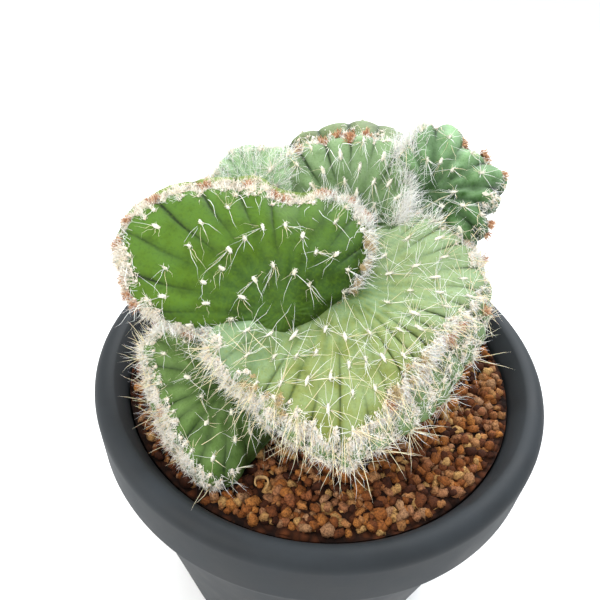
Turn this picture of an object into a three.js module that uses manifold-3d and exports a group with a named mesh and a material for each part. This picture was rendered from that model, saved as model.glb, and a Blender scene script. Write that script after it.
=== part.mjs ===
// Potted crested Eve's needle cactus: one grown body of fan-shaped, ribbed lobes with its spines, standing in
// a dark plastic pot that is filled with reddish clay granules. A curled dry husk lies on the granules.
// Millimetres, +Z up. The origin is on the pot's axis, at the underside of its base.

import * as THREE from 'three'
import { mergeVertices } from 'three/addons/utils/BufferGeometryUtils.js'
import Module from 'manifold-3d'

const wasm = await Module()
wasm.setup()

// Driving dimensions

const POT_HEIGHT = 118
const RIM_RADIUS = 75
const LIP_RADIUS = 65
const LIP_ROUND = 4
const LIP_TURN = 130
const COLLAR_HEIGHT = 22
const COLLAR_STEP = 4.5
const COLLAR_DRAFT = 0.5
const BASE_RADIUS = 55
const WALL = 3
const POT_SIDES = 60
const DRAIN_HOLES = 6
const DRAIN_RADIUS = 5
const DRAIN_CIRCLE = 36

const SOIL_DEPTH = 8
const GRAIN_RELIEF = 0.8
const SOIL_RINGS = 17
const SOIL_SIDES = 60

const CLEARANCE = 0.35

const RIB_RISE = 0.3

const SPINE_BASE = 0.55
const SPINE_SUNK = 1.6
const STUB_BASE = 1.3
const STUB_LENGTH = 4.5

const HUSK_PLACE = [-13, -50]
const HUSK_RADIUS = 2.3
const HUSK_FLAT = 6

const RIM_Z = POT_HEIGHT
const SOIL_Z = POT_HEIGHT - SOIL_DEPTH

// The lobes of the crest. Each one is a thick wavy fan that spreads from its focus:
//   focus    x, y and height above the rim of the point that its ribs run to
//   face     the direction in which its broad face looks
//   ribs     ribs in a whole turn
//   rib      height of the ribs over their grooves at the ridge
//   front, back   how far the face and the back bulge from the lobe's middle surface
//   power    how late the bulge falls off towards the ridge
//   splay    how far the back leans out beyond the ridge, for each millimetre of bulge
//   lean     a bearing, and how much further the back leans out there
//   dome     rise of its middle surface at the focus
//   spine    length of its longest spines
//   crease   share of the rib height: bearing in degrees and share
//   rim      the ridge: bearing in degrees, reach from the focus, and lift along the face direction

const LOBES = [
  {
    name: 'upper_left', focus: [-11, -13, 25], face: [-0.03, -0.68, 0.73],
    ribs: 26, rib: 1.5, front: 7.5, back: 9.5, power: 4.5, splay: 0.9, lean: [125, 1.2],
    dome: 2.8, spine: 7,
    crease: [[14, 0], [45, 0.6], [190, 0.8], [205, 0]],
    rim: [[14, 14, -1], [32, 24, -3], [42, 31, -4], [52, 36, -5], [66, 40, -6], [80, 39, -5], [91, 35, -2],
      [100, 35, 1], [107, 39, 1], [116, 42, 0], [128, 46, 1], [145, 53, 3], [154, 54, 6], [163, 52, 10],
      [173, 47, 12], [185, 39, 13], [193, 31, 10], [200, 22, 6], [218, 13, 4], [313, 6, 3]],
  },
  {
    name: 'front_right', focus: [3, -3, 25], face: [0.03, -0.28, 0.96],
    ribs: 36, rib: 2, front: 7.5, back: 10, power: 4.5, splay: 0.6, lean: [325, 2],
    dome: 0.5, spine: 11,
    crease: [[20, 0.7], [55, 0.4], [75, 0], [205, 0], [235, 0.35], [262, 1], [330, 1]],
    rim: [[1, 41, 7], [10, 44, 7], [18, 44, 9], [24, 42, 12], [31, 39, 13], [40, 36, 14], [52, 35, 13],
      [62, 29, 9], [82, 20, 5], [112, 15, 2], [150, 18, 2], [180, 28, 4], [194, 34, 5], [205, 39, 6],
      [215, 42, 6], [224, 43, 5], [236, 42, 3], [250, 43, 3], [264, 45, 3], [278, 47, 3], [284, 44, 5],
      [292, 41, 5], [302, 38, 6], [320, 34, 6], [336, 34, 7], [350, 38, 7]],
  },
  {
    name: 'lower_left', focus: [-28, -28, 4], face: [0.25, -0.35, 0.9],
    ribs: 20, rib: 1.6, front: 9, back: 8, power: 3.5, splay: 0.6, lean: [190, 0.4],
    dome: 0, spine: 8,
    crease: [[20, 0], [110, 0.4], [150, 0.6], [280, 0.6], [320, 0]],
    rim: [[34, 22, 7], [70, 20, 5], [109, 19, 1], [137, 27, -1], [157, 28, -2], [177, 22, -2],
      [208, 18, -1], [236, 20, 0], [256, 23, 1], [271, 27, 2], [286, 26, 2], [303, 21, 0], [326, 19, 2]],
  },
  {
    name: 'back_middle', focus: [6, 20, 32], face: [0, -0.7, 0.71],
    ribs: 24, rib: 2.2, front: 7, back: 10, power: 4.5, splay: 0.9, lean: [95, 1.4],
    dome: 1, spine: 8,
    crease: [[0, 0], [25, 0.8], [165, 0.8], [190, 0]],
    rim: [[26, 17, 11], [47, 25, 9], [60, 30, 9], [69, 32, 10], [87, 32, 9], [109, 32, 7], [120, 33, 6],
      [129, 34, 4], [140, 36, 3], [149, 38, 0], [172, 30, 1], [210, 23, 3], [277, 17, 3], [352, 13, 9]],
  },
  {
    name: 'back_left', focus: [-25, 30, 37], face: [-0.35, -0.45, 0.8],
    ribs: 18, rib: 1.2, front: 7, back: 9, power: 4, splay: 0.5, lean: [90, 0.4],
    dome: 2, spine: 7,
    crease: [[0, 0.6]],
    rim: [[30, 18, 7], [52, 18, 8], [79, 16, 9], [108, 17, 10], [135, 15, 12], [162, 14, 12],
      [219, 22, 11], [274, 22, 1], [345, 18, -2]],
  },
  {
    name: 'back_right', focus: [31, 28, 44], face: [-0.2, -0.62, 0.75],
    ribs: 14, rib: 2.6, front: 8, back: 10, power: 4, splay: 0.7, lean: [60, 0.3],
    dome: 2, spine: 6, stubs: true,
    crease: [[0, 1]],
    rim: [[10, 20, 2], [28, 23, 0], [45, 21, 2], [59, 20, 3], [72, 24, 3], [83, 26, 4], [99, 21, 12],
      [115, 19, 13], [125, 15, 14], [154, 16, 2], [212, 13, 0], [296, 14, 4], [314, 18, 7], [329, 18, 7],
      [348, 16, 6]],
  },
  {
    name: 'link', focus: [24, 22, 30], face: [-0.86, -0.42, 0.3],
    ribs: 16, rib: 1.4, front: 6, back: 8, power: 4, splay: 0.5, lean: [90, 0],
    dome: 0, spine: 9,
    crease: [[0, 0.6]],
    rim: [[24, 20, -3], [86, 16, -2], [156, 21, 2], [188, 24, 1], [233, 21, -2], [256, 18, 4],
      [279, 18, 4], [301, 20, 3], [318, 22, 2], [344, 22, -1]],
  },
]

// The woody foot, as radius and height above the rim from its buried end up into the lobes

const FOOT_CENTRE = [2, 4]
const FOOT_STRETCH = [1.3, 1]
const FOOT_PROFILE = [[0, -46], [8, -44], [15, -34], [19, -20], [22, -6], [24, 6], [25, 14], [22, 20],
  [14, 24], [0, 26]]
const FOOT_RIBS = 14

// Fractions of the reach at which a lobe's rings lie, from the middle of the face out to the ridge and back

const FACE_RINGS = [0.35, 0.68, 0.92]
const BACK_RINGS = [0.94, 0.76, 0.42]

// Repeatable draw between 0 and 1 from three whole numbers

function draw (a, b, c) {
  const value = Math.sin(a * 12.9898 + b * 78.233 + c * 37.719) * 43758.5453
  return value - Math.floor(value)
}

// Solids and meshes

function solidOf (geometry) {
  const bare = geometry.index ? geometry.toNonIndexed() : geometry
  bare.deleteAttribute('normal')
  bare.deleteAttribute('uv')
  const merged = mergeVertices(bare, 1e-4)
  return new wasm.Manifold(new wasm.Mesh({
    numProp: 3,
    vertProperties: Float32Array.from(merged.attributes.position.array),
    triVerts: Uint32Array.from(merged.index.array),
  }))
}

function geometryOf (solid) {
  const mesh = solid.getMesh()
  const geometry = new THREE.BufferGeometry()
  geometry.setAttribute('position', new THREE.BufferAttribute(mesh.vertProperties, 3))
  geometry.setIndex(new THREE.BufferAttribute(mesh.triVerts, 1))
  geometry.computeVertexNormals()
  return geometry
}

function pointsGeometry (points, faces) {
  const geometry = new THREE.BufferGeometry()
  const flat = points.flatMap((point) => [point.x, point.y, point.z])
  geometry.setAttribute('position', new THREE.Float32BufferAttribute(flat, 3))
  geometry.setIndex(faces.flat())
  return geometry
}

function turned (profile, sides) {
  const outline = profile.map(([radius, height]) => new THREE.Vector2(radius, height))
  return new THREE.LatheGeometry(outline, sides).rotateX(Math.PI / 2)
}

function largestBody (solid) {
  const bodies = solid.decompose()
  return bodies.reduce((best, body) => (body.volume() > best.volume() ? body : best))
}

// Pot: a tapered wall under a thick collar with a rounded rim, and drainage holes round a flat base

function wallRadius (height) {
  const collarFoot = POT_HEIGHT - COLLAR_HEIGHT
  const top = RIM_RADIUS - COLLAR_STEP
  return THREE.MathUtils.mapLinear(Math.min(height, collarFoot), 0, collarFoot, BASE_RADIUS, top)
}

function rimArc (steps) {
  return Array.from({ length: steps + 1 }, (_, step) => {
    const angle = THREE.MathUtils.degToRad(LIP_TURN * step / steps)
    return [RIM_RADIUS - LIP_ROUND * (1 - Math.cos(angle)), POT_HEIGHT - LIP_ROUND * (1 - Math.sin(angle))]
  })
}

function pot () {
  const collarFoot = POT_HEIGHT - COLLAR_HEIGHT
  const floorRadius = wallRadius(WALL) - WALL
  const profile = [
    [0, 0],
    [BASE_RADIUS - 1, 0],
    [BASE_RADIUS, 1],
    [wallRadius(collarFoot), collarFoot - 1],
    [RIM_RADIUS - 1, collarFoot],
    [RIM_RADIUS - 0.4, collarFoot + 1.5],
    ...rimArc(7),
    [LIP_RADIUS, SOIL_Z + 0.5],
    [LIP_RADIUS - COLLAR_DRAFT, collarFoot],
    [floorRadius, WALL],
    [0, WALL],
  ]
  let body = solidOf(turned(profile, POT_SIDES))
  for (let hole = 0; hole < DRAIN_HOLES; hole++) {
    const angle = 2 * Math.PI * (hole + 0.5) / DRAIN_HOLES
    const drill = new THREE.CylinderGeometry(DRAIN_RADIUS, DRAIN_RADIUS, 4 * WALL, 16).rotateX(Math.PI / 2)
    drill.translate(DRAIN_CIRCLE * Math.cos(angle), DRAIN_CIRCLE * Math.sin(angle), 0)
    body = body.subtract(solidOf(drill))
  }
  return geometryOf(body)
}

// Crest: each lobe as a closed ribbed fan

function periodic (table, column, bearing) {
  const count = table.length
  const key = (i) => table[(i + count) % count][0] + 360 * Math.floor(i / count)
  const value = (i) => table[(i + count) % count][column]
  const slope = (i) => (value(i + 1) - value(i - 1)) / (key(i + 1) - key(i - 1))
  let low = -1
  while (key(low + 1) <= bearing) low++
  const width = key(low + 1) - key(low)
  const t = (bearing - key(low)) / width
  const t2 = t * t
  const t3 = t2 * t
  return (2 * t3 - 3 * t2 + 1) * value(low) + (t3 - 2 * t2 + t) * width * slope(low) +
    (3 * t2 - 2 * t3) * value(low + 1) + (t3 - t2) * width * slope(low + 1)
}

// Straight interpolation round a whole turn in a table of bearings and shares

function shareAt (table, bearing) {
  const turn = ((bearing % 360) + 360) % 360
  const first = table[0]
  const last = table[table.length - 1]
  const closed = [[last[0] - 360, last[1]], ...table, [first[0] + 360, first[1]]]
  const next = closed.findIndex(([key]) => key > turn)
  const [low, lowShare] = closed[next - 1]
  const [high, highShare] = closed[next]
  return THREE.MathUtils.mapLinear(turn, low, high, lowShare, highShare)
}

function splayAt (lobe, bearing) {
  const [way, extra] = lobe.lean
  const towards = 0.5 + 0.5 * Math.cos(THREE.MathUtils.degToRad(bearing - way))
  return lobe.splay + extra * towards ** 4
}

// Height of the ribs and depth of the grooves between them, both growing towards the ridge

function reliefAt (lobe, bearing, out) {
  const onRib = 0.5 + 0.5 * Math.cos(THREE.MathUtils.degToRad(bearing * lobe.ribs))
  const rise = RIB_RISE * out ** 6
  const groove = (1 - RIB_RISE) * THREE.MathUtils.smoothstep(out, 0.4, 0.95) * (0.4 + 0.6 * out * out)
  return lobe.rib * shareAt(lobe.crease, bearing) * (onRib * rise - (1 - onRib) * groove)
}

function axesOf (lobe) {
  const normal = new THREE.Vector3(...lobe.face).normalize()
  const across = new THREE.Vector3(1, 0, 0).projectOnPlane(normal).normalize()
  const up = new THREE.Vector3().crossVectors(normal, across)
  const focus = new THREE.Vector3(lobe.focus[0], lobe.focus[1], RIM_Z + lobe.focus[2])
  return { normal, across, up, focus }
}

// A point of a lobe's skin. The bearing is in degrees, out is the fraction of the reach, side is +1 for the
// face and -1 for the back, and grow thickens the lobe all round.

function skinPoint (lobe, bearing, out, side, grow = 0) {
  const { normal, across, up, focus } = axesOf(lobe)
  const bulge = (side > 0 ? lobe.front : lobe.back) + grow
  const cap = bulge * Math.sqrt(Math.max(0, 1 - out ** lobe.power))
  const rib = grow > 0 ? RIB_RISE * lobe.rib : reliefAt(lobe, bearing, out)
  const lean = side < 0 ? splayAt(lobe, bearing) * cap * out * out : 0
  const reach = (periodic(lobe.rim, 1, bearing) + grow) * out + lean + rib * out ** 4
  const lift = periodic(lobe.rim, 2, bearing) * out * out + lobe.dome * (1 - out * out)
  const height = lift + side * (cap + rib * (1 - out ** 6))
  const angle = THREE.MathUtils.degToRad(bearing)
  return focus.clone()
    .addScaledVector(across, reach * Math.cos(angle))
    .addScaledVector(up, reach * Math.sin(angle))
    .addScaledVector(normal, height)
}

function lobeGeometry (lobe, grow = 0) {
  const steps = 2 * lobe.ribs
  const rings = [
    ...FACE_RINGS.map((out) => [out, 1]),
    [1, 1],
    ...BACK_RINGS.map((out) => [out, -1]),
  ]
  const points = [skinPoint(lobe, 0, 0, 1, grow)]
  for (const [out, side] of rings) {
    for (let step = 0; step < steps; step++) {
      points.push(skinPoint(lobe, 360 * step / steps, out, side, grow))
    }
  }
  const last = points.push(skinPoint(lobe, 0, 0, -1, grow)) - 1
  const at = (ring, step) => 1 + ring * steps + step % steps
  const faces = []
  for (let step = 0; step < steps; step++) {
    faces.push([0, at(0, step), at(0, step + 1)])
    for (let ring = 0; ring + 1 < rings.length; ring++) {
      faces.push([at(ring, step), at(ring + 1, step), at(ring + 1, step + 1)])
      faces.push([at(ring, step), at(ring + 1, step + 1), at(ring, step + 1)])
    }
    faces.push([last, at(rings.length - 1, step + 1), at(rings.length - 1, step)])
  }
  return pointsGeometry(points, faces)
}

function foot (grow = 0) {
  const profile = FOOT_PROFILE.map(([radius, height]) => [radius > 0 ? radius + grow : 0, RIM_Z + height])
  profile[0][1] -= grow
  const geometry = turned(profile, 2 * FOOT_RIBS)
  const place = geometry.attributes.position
  for (let i = 0; i < place.count; i++) {
    const angle = Math.atan2(place.getY(i), place.getX(i))
    const rib = grow > 0 ? 1.03 : 1 + 0.03 * Math.cos(FOOT_RIBS * angle)
    place.setXY(i, place.getX(i) * rib, place.getY(i) * rib)
  }
  return geometry.scale(...FOOT_STRETCH, 1).translate(...FOOT_CENTRE, 0)
}

// Whether a point lies inside a lobe by more than a margin

function inLobe (lobe, point, margin) {
  const { normal, across, up, focus } = axesOf(lobe)
  const offset = point.clone().sub(focus)
  const x = offset.dot(across)
  const y = offset.dot(up)
  const bearing = (THREE.MathUtils.radToDeg(Math.atan2(y, x)) + 360) % 360
  const out = Math.hypot(x, y) / (periodic(lobe.rim, 1, bearing) - margin)
  if (out >= 1) return false
  const lift = periodic(lobe.rim, 2, bearing) * out * out + lobe.dome * (1 - out * out)
  const cap = Math.sqrt(1 - out ** lobe.power)
  const height = offset.dot(normal) - lift
  return height < lobe.front * cap - margin && height > -(lobe.back * cap - margin)
}

// Spines: three-sided needles, and five-sided stubs of dried leaves. Each one leans from the skin's own
// direction by a seeded draw, and is turned upwards where its tip would touch the granules or the rim.

function clearOfPot (tip) {
  const radius = Math.hypot(tip.x, tip.y)
  if (radius > LIP_RADIUS - 2 && tip.z < RIM_Z + 2) return false
  return tip.z > SOIL_Z + GRAIN_RELIEF + 1 && radius < RIM_RADIUS - 0.5
}

function spine (root, direction, length, base = SPINE_BASE) {
  const heading = direction.clone().normalize()
  for (let turn = 0; turn < 12 && !clearOfPot(root.clone().addScaledVector(heading, length)); turn++) {
    heading.z += 0.2
    heading.x -= 0.004 * root.x
    heading.y -= 0.004 * root.y
    heading.normalize()
  }
  const total = length + SPINE_SUNK
  const sides = base > SPINE_BASE ? 5 : 3
  const needle = new THREE.ConeGeometry(base, total, sides).translate(0, total / 2 - SPINE_SUNK, 0)
  needle.applyQuaternion(new THREE.Quaternion().setFromUnitVectors(new THREE.Vector3(0, 1, 0), heading))
  return needle.translate(root.x, root.y, root.z)
}

// Rows of areoles from the ridge inwards: fraction of the reach, side, ribs from one areole to the next,
// share of the longest spine, and how far the spine leans along the fan

const AREOLE_ROWS = [
  { out: 1, side: 1, every: 1, share: 1, lean: 0.25 },
  { out: 0.97, side: -1, every: 2, share: 0.8, lean: -0.5 },
  { out: 0.88, side: 1, every: 1, share: 0.85, lean: 0.5 },
  { out: 0.68, side: 1, every: 2, share: 0.7, lean: 0.6 },
  { out: 0.8, side: -1, every: 2, share: 0.6, lean: 0.3 },
]

function lobeSpines (lobe, order) {
  const { normal } = axesOf(lobe)
  const needles = []
  AREOLE_ROWS.forEach((row, rowOrder) => {
    for (let rib = rowOrder % 2; rib < lobe.ribs; rib += row.every) {
      const bearing = 360 * rib / lobe.ribs
      const root = skinPoint(lobe, bearing, row.out, row.side)
      const inner = skinPoint(lobe, bearing, row.out - 0.08, row.side)
      const along = root.clone().sub(inner).normalize()
      const outwards = row.out === 1 ? along.clone() : normal.clone().multiplyScalar(row.side)
      const sideways = new THREE.Vector3().crossVectors(normal, along)
      const heading = outwards
        .addScaledVector(row.out === 1 ? normal : along, row.lean + 0.7 * (draw(order, rib, rowOrder) - 0.5))
        .addScaledVector(sideways, 1.1 * (draw(rib, rowOrder, order) - 0.5))
      const length = lobe.spine * row.share * (0.75 + 0.5 * draw(rowOrder, order, rib))
      if (LOBES.some((other) => other !== lobe && inLobe(other, root, -0.5))) continue
      if (root.z < SOIL_Z + 2.5) continue
      needles.push(spine(root, heading, length))
      if (lobe.stubs && rowOrder < 2) needles.push(spine(root, along, STUB_LENGTH, STUB_BASE))
    }
  })
  return needles
}

function crest () {
  const lobes = LOBES.map((lobe) => solidOf(lobeGeometry(lobe)))
  const needles = LOBES.flatMap(lobeSpines).map(solidOf)
  return geometryOf(largestBody(wasm.Manifold.union([...lobes, solidOf(foot()), ...needles])))
}

// Soil: the granules as one body with a bumpy top, a plain hole for the plant, and a level spot for the husk

function soil () {
  const gap = CLEARANCE
  const collarFoot = POT_HEIGHT - COLLAR_HEIGHT
  const topRadius = LIP_RADIUS - 0.1 - gap
  const profile = [[0, WALL + gap], [wallRadius(WALL) - WALL - gap - 0.1, WALL + gap]]
  profile.push([LIP_RADIUS - COLLAR_DRAFT - 0.1 - gap, collarFoot], [topRadius, SOIL_Z])
  for (let ring = SOIL_RINGS; ring >= 0; ring--) {
    profile.push([(topRadius - 1) * ring / SOIL_RINGS, SOIL_Z])
  }
  const geometry = turned(profile, SOIL_SIDES)
  const place = geometry.attributes.position
  for (let i = 0; i < place.count; i++) {
    const [x, y, z] = [place.getX(i), place.getY(i), place.getZ(i)]
    const nearHusk = Math.hypot(x - HUSK_PLACE[0], y - HUSK_PLACE[1]) < HUSK_FLAT
    if (z < SOIL_Z - 0.01 || Math.hypot(x, y) > topRadius - 0.5 || nearHusk) continue
    const bump = draw(Math.round(x * 10), Math.round(y * 10), 5)
    place.setZ(i, z + GRAIN_RELIEF * (2 * bump - 1))
  }
  let body = solidOf(geometry).subtract(solidOf(foot(CLEARANCE)))
  for (const lobe of LOBES) body = body.subtract(solidOf(lobeGeometry(lobe, CLEARANCE)))
  return geometryOf(largestBody(body))
}

// Dry husk: a small flat strip curled into an open C, lying on its side

function dryHusk () {
  const curl = new THREE.CatmullRomCurve3(Array.from({ length: 7 }, (_, step) => {
    const angle = THREE.MathUtils.degToRad(-40 + 45 * step)
    const radius = HUSK_RADIUS * (1 - 0.06 * step)
    return new THREE.Vector3(radius * Math.cos(angle), radius * Math.sin(angle), 0)
  }))
  const section = new THREE.Shape()
  section.absellipse(0, 0, 0.75, 0.4, 0, 2 * Math.PI)
  const geometry = new THREE.ExtrudeGeometry(section, { steps: 14, curveSegments: 4, extrudePath: curl })
  geometry.computeBoundingBox()
  const drop = SOIL_Z + CLEARANCE - geometry.boundingBox.min.z
  return geometryOf(solidOf(geometry.translate(...HUSK_PLACE, drop)))
}

// Scene graph

function piece (name, geometry, color, roughness) {
  const mesh = new THREE.Mesh(geometry, new THREE.MeshStandardMaterial({ color, roughness, metalness: 0 }))
  mesh.name = name
  return mesh
}

const group = new THREE.Group()
group.add(piece('pot', pot(), '#3b4047', 0.45))
group.add(piece('soil', soil(), '#7d4629', 0.95))
group.add(piece('crest', crest(), '#7f9c46', 0.7))
group.add(piece('dry_husk', dryHusk(), '#c79a63', 0.8))

export default group
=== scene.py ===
import bpy
import numpy as np
from mathutils import Matrix


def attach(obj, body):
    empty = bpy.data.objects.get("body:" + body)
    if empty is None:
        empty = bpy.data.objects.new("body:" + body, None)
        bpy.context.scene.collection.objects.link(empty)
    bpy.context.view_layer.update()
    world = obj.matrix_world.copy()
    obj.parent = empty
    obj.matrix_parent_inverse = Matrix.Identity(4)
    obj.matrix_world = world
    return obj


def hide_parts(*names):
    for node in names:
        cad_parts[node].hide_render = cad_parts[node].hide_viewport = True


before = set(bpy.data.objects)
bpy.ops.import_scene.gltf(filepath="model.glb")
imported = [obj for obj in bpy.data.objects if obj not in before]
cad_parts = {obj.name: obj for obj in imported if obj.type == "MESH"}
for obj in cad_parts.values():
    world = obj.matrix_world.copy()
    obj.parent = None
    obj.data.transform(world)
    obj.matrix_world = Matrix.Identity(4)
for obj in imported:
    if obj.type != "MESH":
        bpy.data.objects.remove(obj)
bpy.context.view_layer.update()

# Sizes in millimetres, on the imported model's axes: +Z up, the pot's axis through the origin

MM = 0.001
POT_HEIGHT = 118.0
RIM_RADIUS = 75.0
LIP_RADIUS = 65.0
LIP_ROUND = 4.0
LIP_TURN = 130.0
COLLAR_HEIGHT = 22.0
COLLAR_STEP = 4.5
BASE_RADIUS = 55.0
WALL = 3.0
DRAIN_HOLES = 6
DRAIN_RADIUS = 5.0
DRAIN_CIRCLE = 36.0
SOIL_DEPTH = 8.0
HUSK_PLACE = (-13.0, -50.0)
HUSK_RADIUS = 2.3

RIM_Z = POT_HEIGHT
SOIL_Z = POT_HEIGHT - SOIL_DEPTH
DOWN = np.array([0.0, 0.0, -1.0])

# The lobes of the crest, each a thick wavy fan that spreads from its focus, given with its height above the
# rim, and looks along face. front and back are how far its two sides bulge from the middle surface, power is
# how late the bulge falls off, and dome how far the middle surface rises at the focus. rim holds the ridge as
# bearing in degrees, reach from the focus, and lift along face. The back leans out beyond the ridge by splay,
# and by the second number of lean more towards the bearing that is its first. ribs is how many there are, rib
# how deep the grooves are at the ridge, crease what share of that they have at which bearing, knob how high
# the tubercles stand, and pitch the step between areoles on a rib.

LOBES = [
    dict(name="upper_left", focus=(-11, -13, 25), face=(-0.03, -0.68, 0.73), ribs=26, rib=1.5, knob=0.3,
         front=7.5, back=9.5, power=4.5, splay=0.9, lean=(125, 1.2), dome=2.8, pitch=11.5,
         crease=[[14, 0], [45, 0.6], [190, 0.8], [205, 0]],
         rim=[[14, 14, -1], [32, 24, -3], [42, 31, -4], [52, 36, -5], [66, 40, -6], [80, 39, -5],
              [91, 35, -2], [100, 35, 1], [107, 39, 1], [116, 42, 0], [128, 46, 1], [145, 53, 3],
              [154, 54, 6], [163, 52, 10], [173, 47, 12], [185, 39, 13], [193, 31, 10], [200, 22, 6],
              [218, 13, 4], [313, 6, 3]]),
    dict(name="front_right", focus=(3, -3, 25), face=(0.03, -0.28, 0.96), ribs=36, rib=2.0, knob=0.4,
         front=7.5, back=10, power=4.5, splay=0.6, lean=(325, 2.0), dome=0.5, pitch=8.5,
         crease=[[20, 1], [55, 0.7], [75, 0], [205, 0], [235, 0.35], [262, 1], [330, 1]],
         rim=[[1, 41, 7], [10, 44, 7], [18, 44, 9], [24, 42, 12], [31, 39, 13], [40, 36, 14], [52, 35, 13],
              [62, 29, 9], [82, 20, 5], [112, 15, 2], [150, 18, 2], [180, 28, 4], [194, 34, 5],
              [205, 39, 6], [215, 42, 6], [224, 43, 5], [236, 42, 3], [250, 43, 3], [264, 45, 3],
              [278, 47, 3], [284, 44, 5], [292, 41, 5], [302, 38, 6], [320, 34, 6], [336, 34, 7],
              [350, 38, 7]]),
    dict(name="lower_left", focus=(-28, -28, 4), face=(0.25, -0.35, 0.9), ribs=20, rib=1.6, knob=0.6,
         front=9, back=8, power=3.5, splay=0.6, lean=(190, 0.4), dome=0, pitch=7.5,
         crease=[[20, 0], [110, 0.4], [150, 0.6], [280, 0.6], [320, 0]],
         rim=[[34, 22, 7], [70, 20, 5], [109, 19, 1], [137, 27, -1], [157, 28, -2], [177, 22, -2],
              [208, 18, -1], [236, 20, 0], [256, 23, 1], [271, 27, 2], [286, 26, 2], [303, 21, 0],
              [326, 19, 2]]),
    dict(name="back_middle", focus=(6, 20, 32), face=(0, -0.7, 0.71), ribs=24, rib=2.2, knob=0.6,
         front=7, back=10, power=4.5, splay=0.9, lean=(95, 1.4), dome=1, pitch=8.0,
         crease=[[0, 0], [25, 0.8], [165, 0.8], [190, 0]],
         rim=[[26, 17, 11], [47, 25, 9], [60, 30, 9], [69, 32, 10], [87, 32, 9], [109, 32, 7],
              [120, 33, 6], [129, 34, 4], [140, 36, 3], [149, 38, 0], [172, 30, 1], [210, 23, 3],
              [277, 17, 3], [352, 13, 9]]),
    dict(name="back_left", focus=(-25, 30, 37), face=(-0.35, -0.45, 0.8), ribs=18, rib=1.2, knob=0.5,
         front=7, back=9, power=4.0, splay=0.5, lean=(90, 0.4), dome=2, pitch=7.0, crease=[[0, 0.6]],
         rim=[[30, 18, 7], [52, 18, 8], [79, 16, 9], [108, 17, 10], [135, 15, 12], [162, 14, 12],
              [219, 22, 11], [274, 22, 1], [345, 18, -2]]),
    dict(name="back_right", focus=(31, 28, 44), face=(-0.2, -0.62, 0.75), ribs=14, rib=2.6, knob=1.3,
         front=8, back=10, power=4.0, splay=0.7, lean=(60, 0.3), dome=2, pitch=8.5, crease=[[0, 1]],
         rim=[[10, 20, 2], [28, 23, 0], [45, 21, 2], [59, 20, 3], [72, 24, 3], [83, 26, 4], [99, 21, 12],
              [115, 19, 13], [125, 15, 14], [154, 16, 2], [212, 13, 0], [296, 14, 4], [314, 18, 7],
              [329, 18, 7], [348, 16, 6]]),
    dict(name="link", focus=(24, 22, 30), face=(-0.86, -0.42, 0.3), ribs=16, rib=1.4, knob=0.5,
         front=6, back=8, power=4.0, splay=0.5, lean=(90, 0.0), dome=0, pitch=7.0, crease=[[0, 0.6]],
         rim=[[24, 20, -3], [86, 16, -2], [156, 21, 2], [188, 24, 1], [233, 21, -2], [256, 18, 4],
              [279, 18, 4], [301, 20, 3], [318, 22, 2], [344, 22, -1]]),
]

# The foot under the lobes: its centre, its stretch to an oval, its profile as radius and height above the
# rim, and how many ribs it has

FOOT_CENTRE = np.array([2.0, 4.0])
FOOT_STRETCH = np.array([1.3, 1.0])
FOOT_PROFILE = np.array([[0, -46], [8, -44], [15, -34], [19, -20], [22, -6], [24, 6], [25, 14], [22, 20],
                         [14, 24], [0, 26]], float)
FOOT_RIBS = 14

# How far from the ridge the first areole of a rib lies and how far those of every second rib are shifted, in
# pitches; how far spine tips stay above the soil, grains from the wall and top grains from the husk's middle;
# how far apart the rows of the grains' lattice are, in steps of the lattice; and how often a spine that would
# touch the pot is turned a little

AREOLE_START = 0.3
AREOLE_STAGGER = 0.5
SPINE_CLEARANCE = 2.2
GRAIN_CLEARANCE = 2.2
HUSK_CLEARANCE = 3.4
LATTICE_ROW = 0.87
TURN_TRIES = 14


# Meshes

def make_piece(name, points, quads, triangles=(), values=None, smooth=True):
    """Object at the origin whose mesh holds the points, given in millimetres, and the faces."""
    quads = np.asarray(quads, int).reshape(-1, 4)
    triangles = np.asarray(triangles, int).reshape(-1, 3)
    corners = np.concatenate([quads.ravel(), triangles.ravel()])
    sizes = np.concatenate([np.full(len(quads), 4), np.full(len(triangles), 3)])
    mesh = bpy.data.meshes.new(name)
    mesh.vertices.add(len(points))
    mesh.vertices.foreach_set("co", (np.asarray(points) * MM).ravel())
    mesh.loops.add(len(corners))
    mesh.loops.foreach_set("vertex_index", corners)
    mesh.polygons.add(len(sizes))
    mesh.polygons.foreach_set("loop_start", np.cumsum(sizes) - sizes)
    for label, data in (values or {}).items():
        layer = mesh.attributes.new(label, "FLOAT", "POINT").data
        layer.foreach_set("value", np.asarray(data, float).ravel())
    mesh.update(calc_edges=True)
    mesh.validate()
    if smooth:
        mesh.shade_smooth()
    piece = bpy.data.objects.new(name, mesh)
    bpy.context.scene.collection.objects.link(piece)
    return piece


def turns(steps):
    """Angles of equal steps round a whole turn, clockwise, so that the faces of rings look outwards."""
    return -np.arange(steps) * 2 * np.pi / steps


def dress(piece, material, node=None):
    """Give a piece its material, its body and its slot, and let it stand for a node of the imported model."""
    piece.data.materials.append(material)
    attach(piece, "root")
    if node:
        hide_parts(node)


def ring_faces(rings, steps):
    """Quads between closed rings of points, each ring stored after the one before it, behind a first pole."""
    start = 1 + np.arange(rings - 1)[:, None] * steps
    near, step_on = start + np.arange(steps), start + (np.arange(steps) + 1) % steps
    return np.stack([near, near + steps, step_on + steps, step_on], -1).reshape(-1, 4)


def cap_faces(pole, first, steps, turn):
    """Triangles from a pole to a ring, turned one way for the first cap and the other way for the last."""
    here = first + np.arange(steps)
    after = first + (np.arange(steps) + 1) % steps
    pair = (here, after) if turn > 0 else (after, here)
    return np.stack([np.full(steps, pole), *pair], -1)


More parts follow.
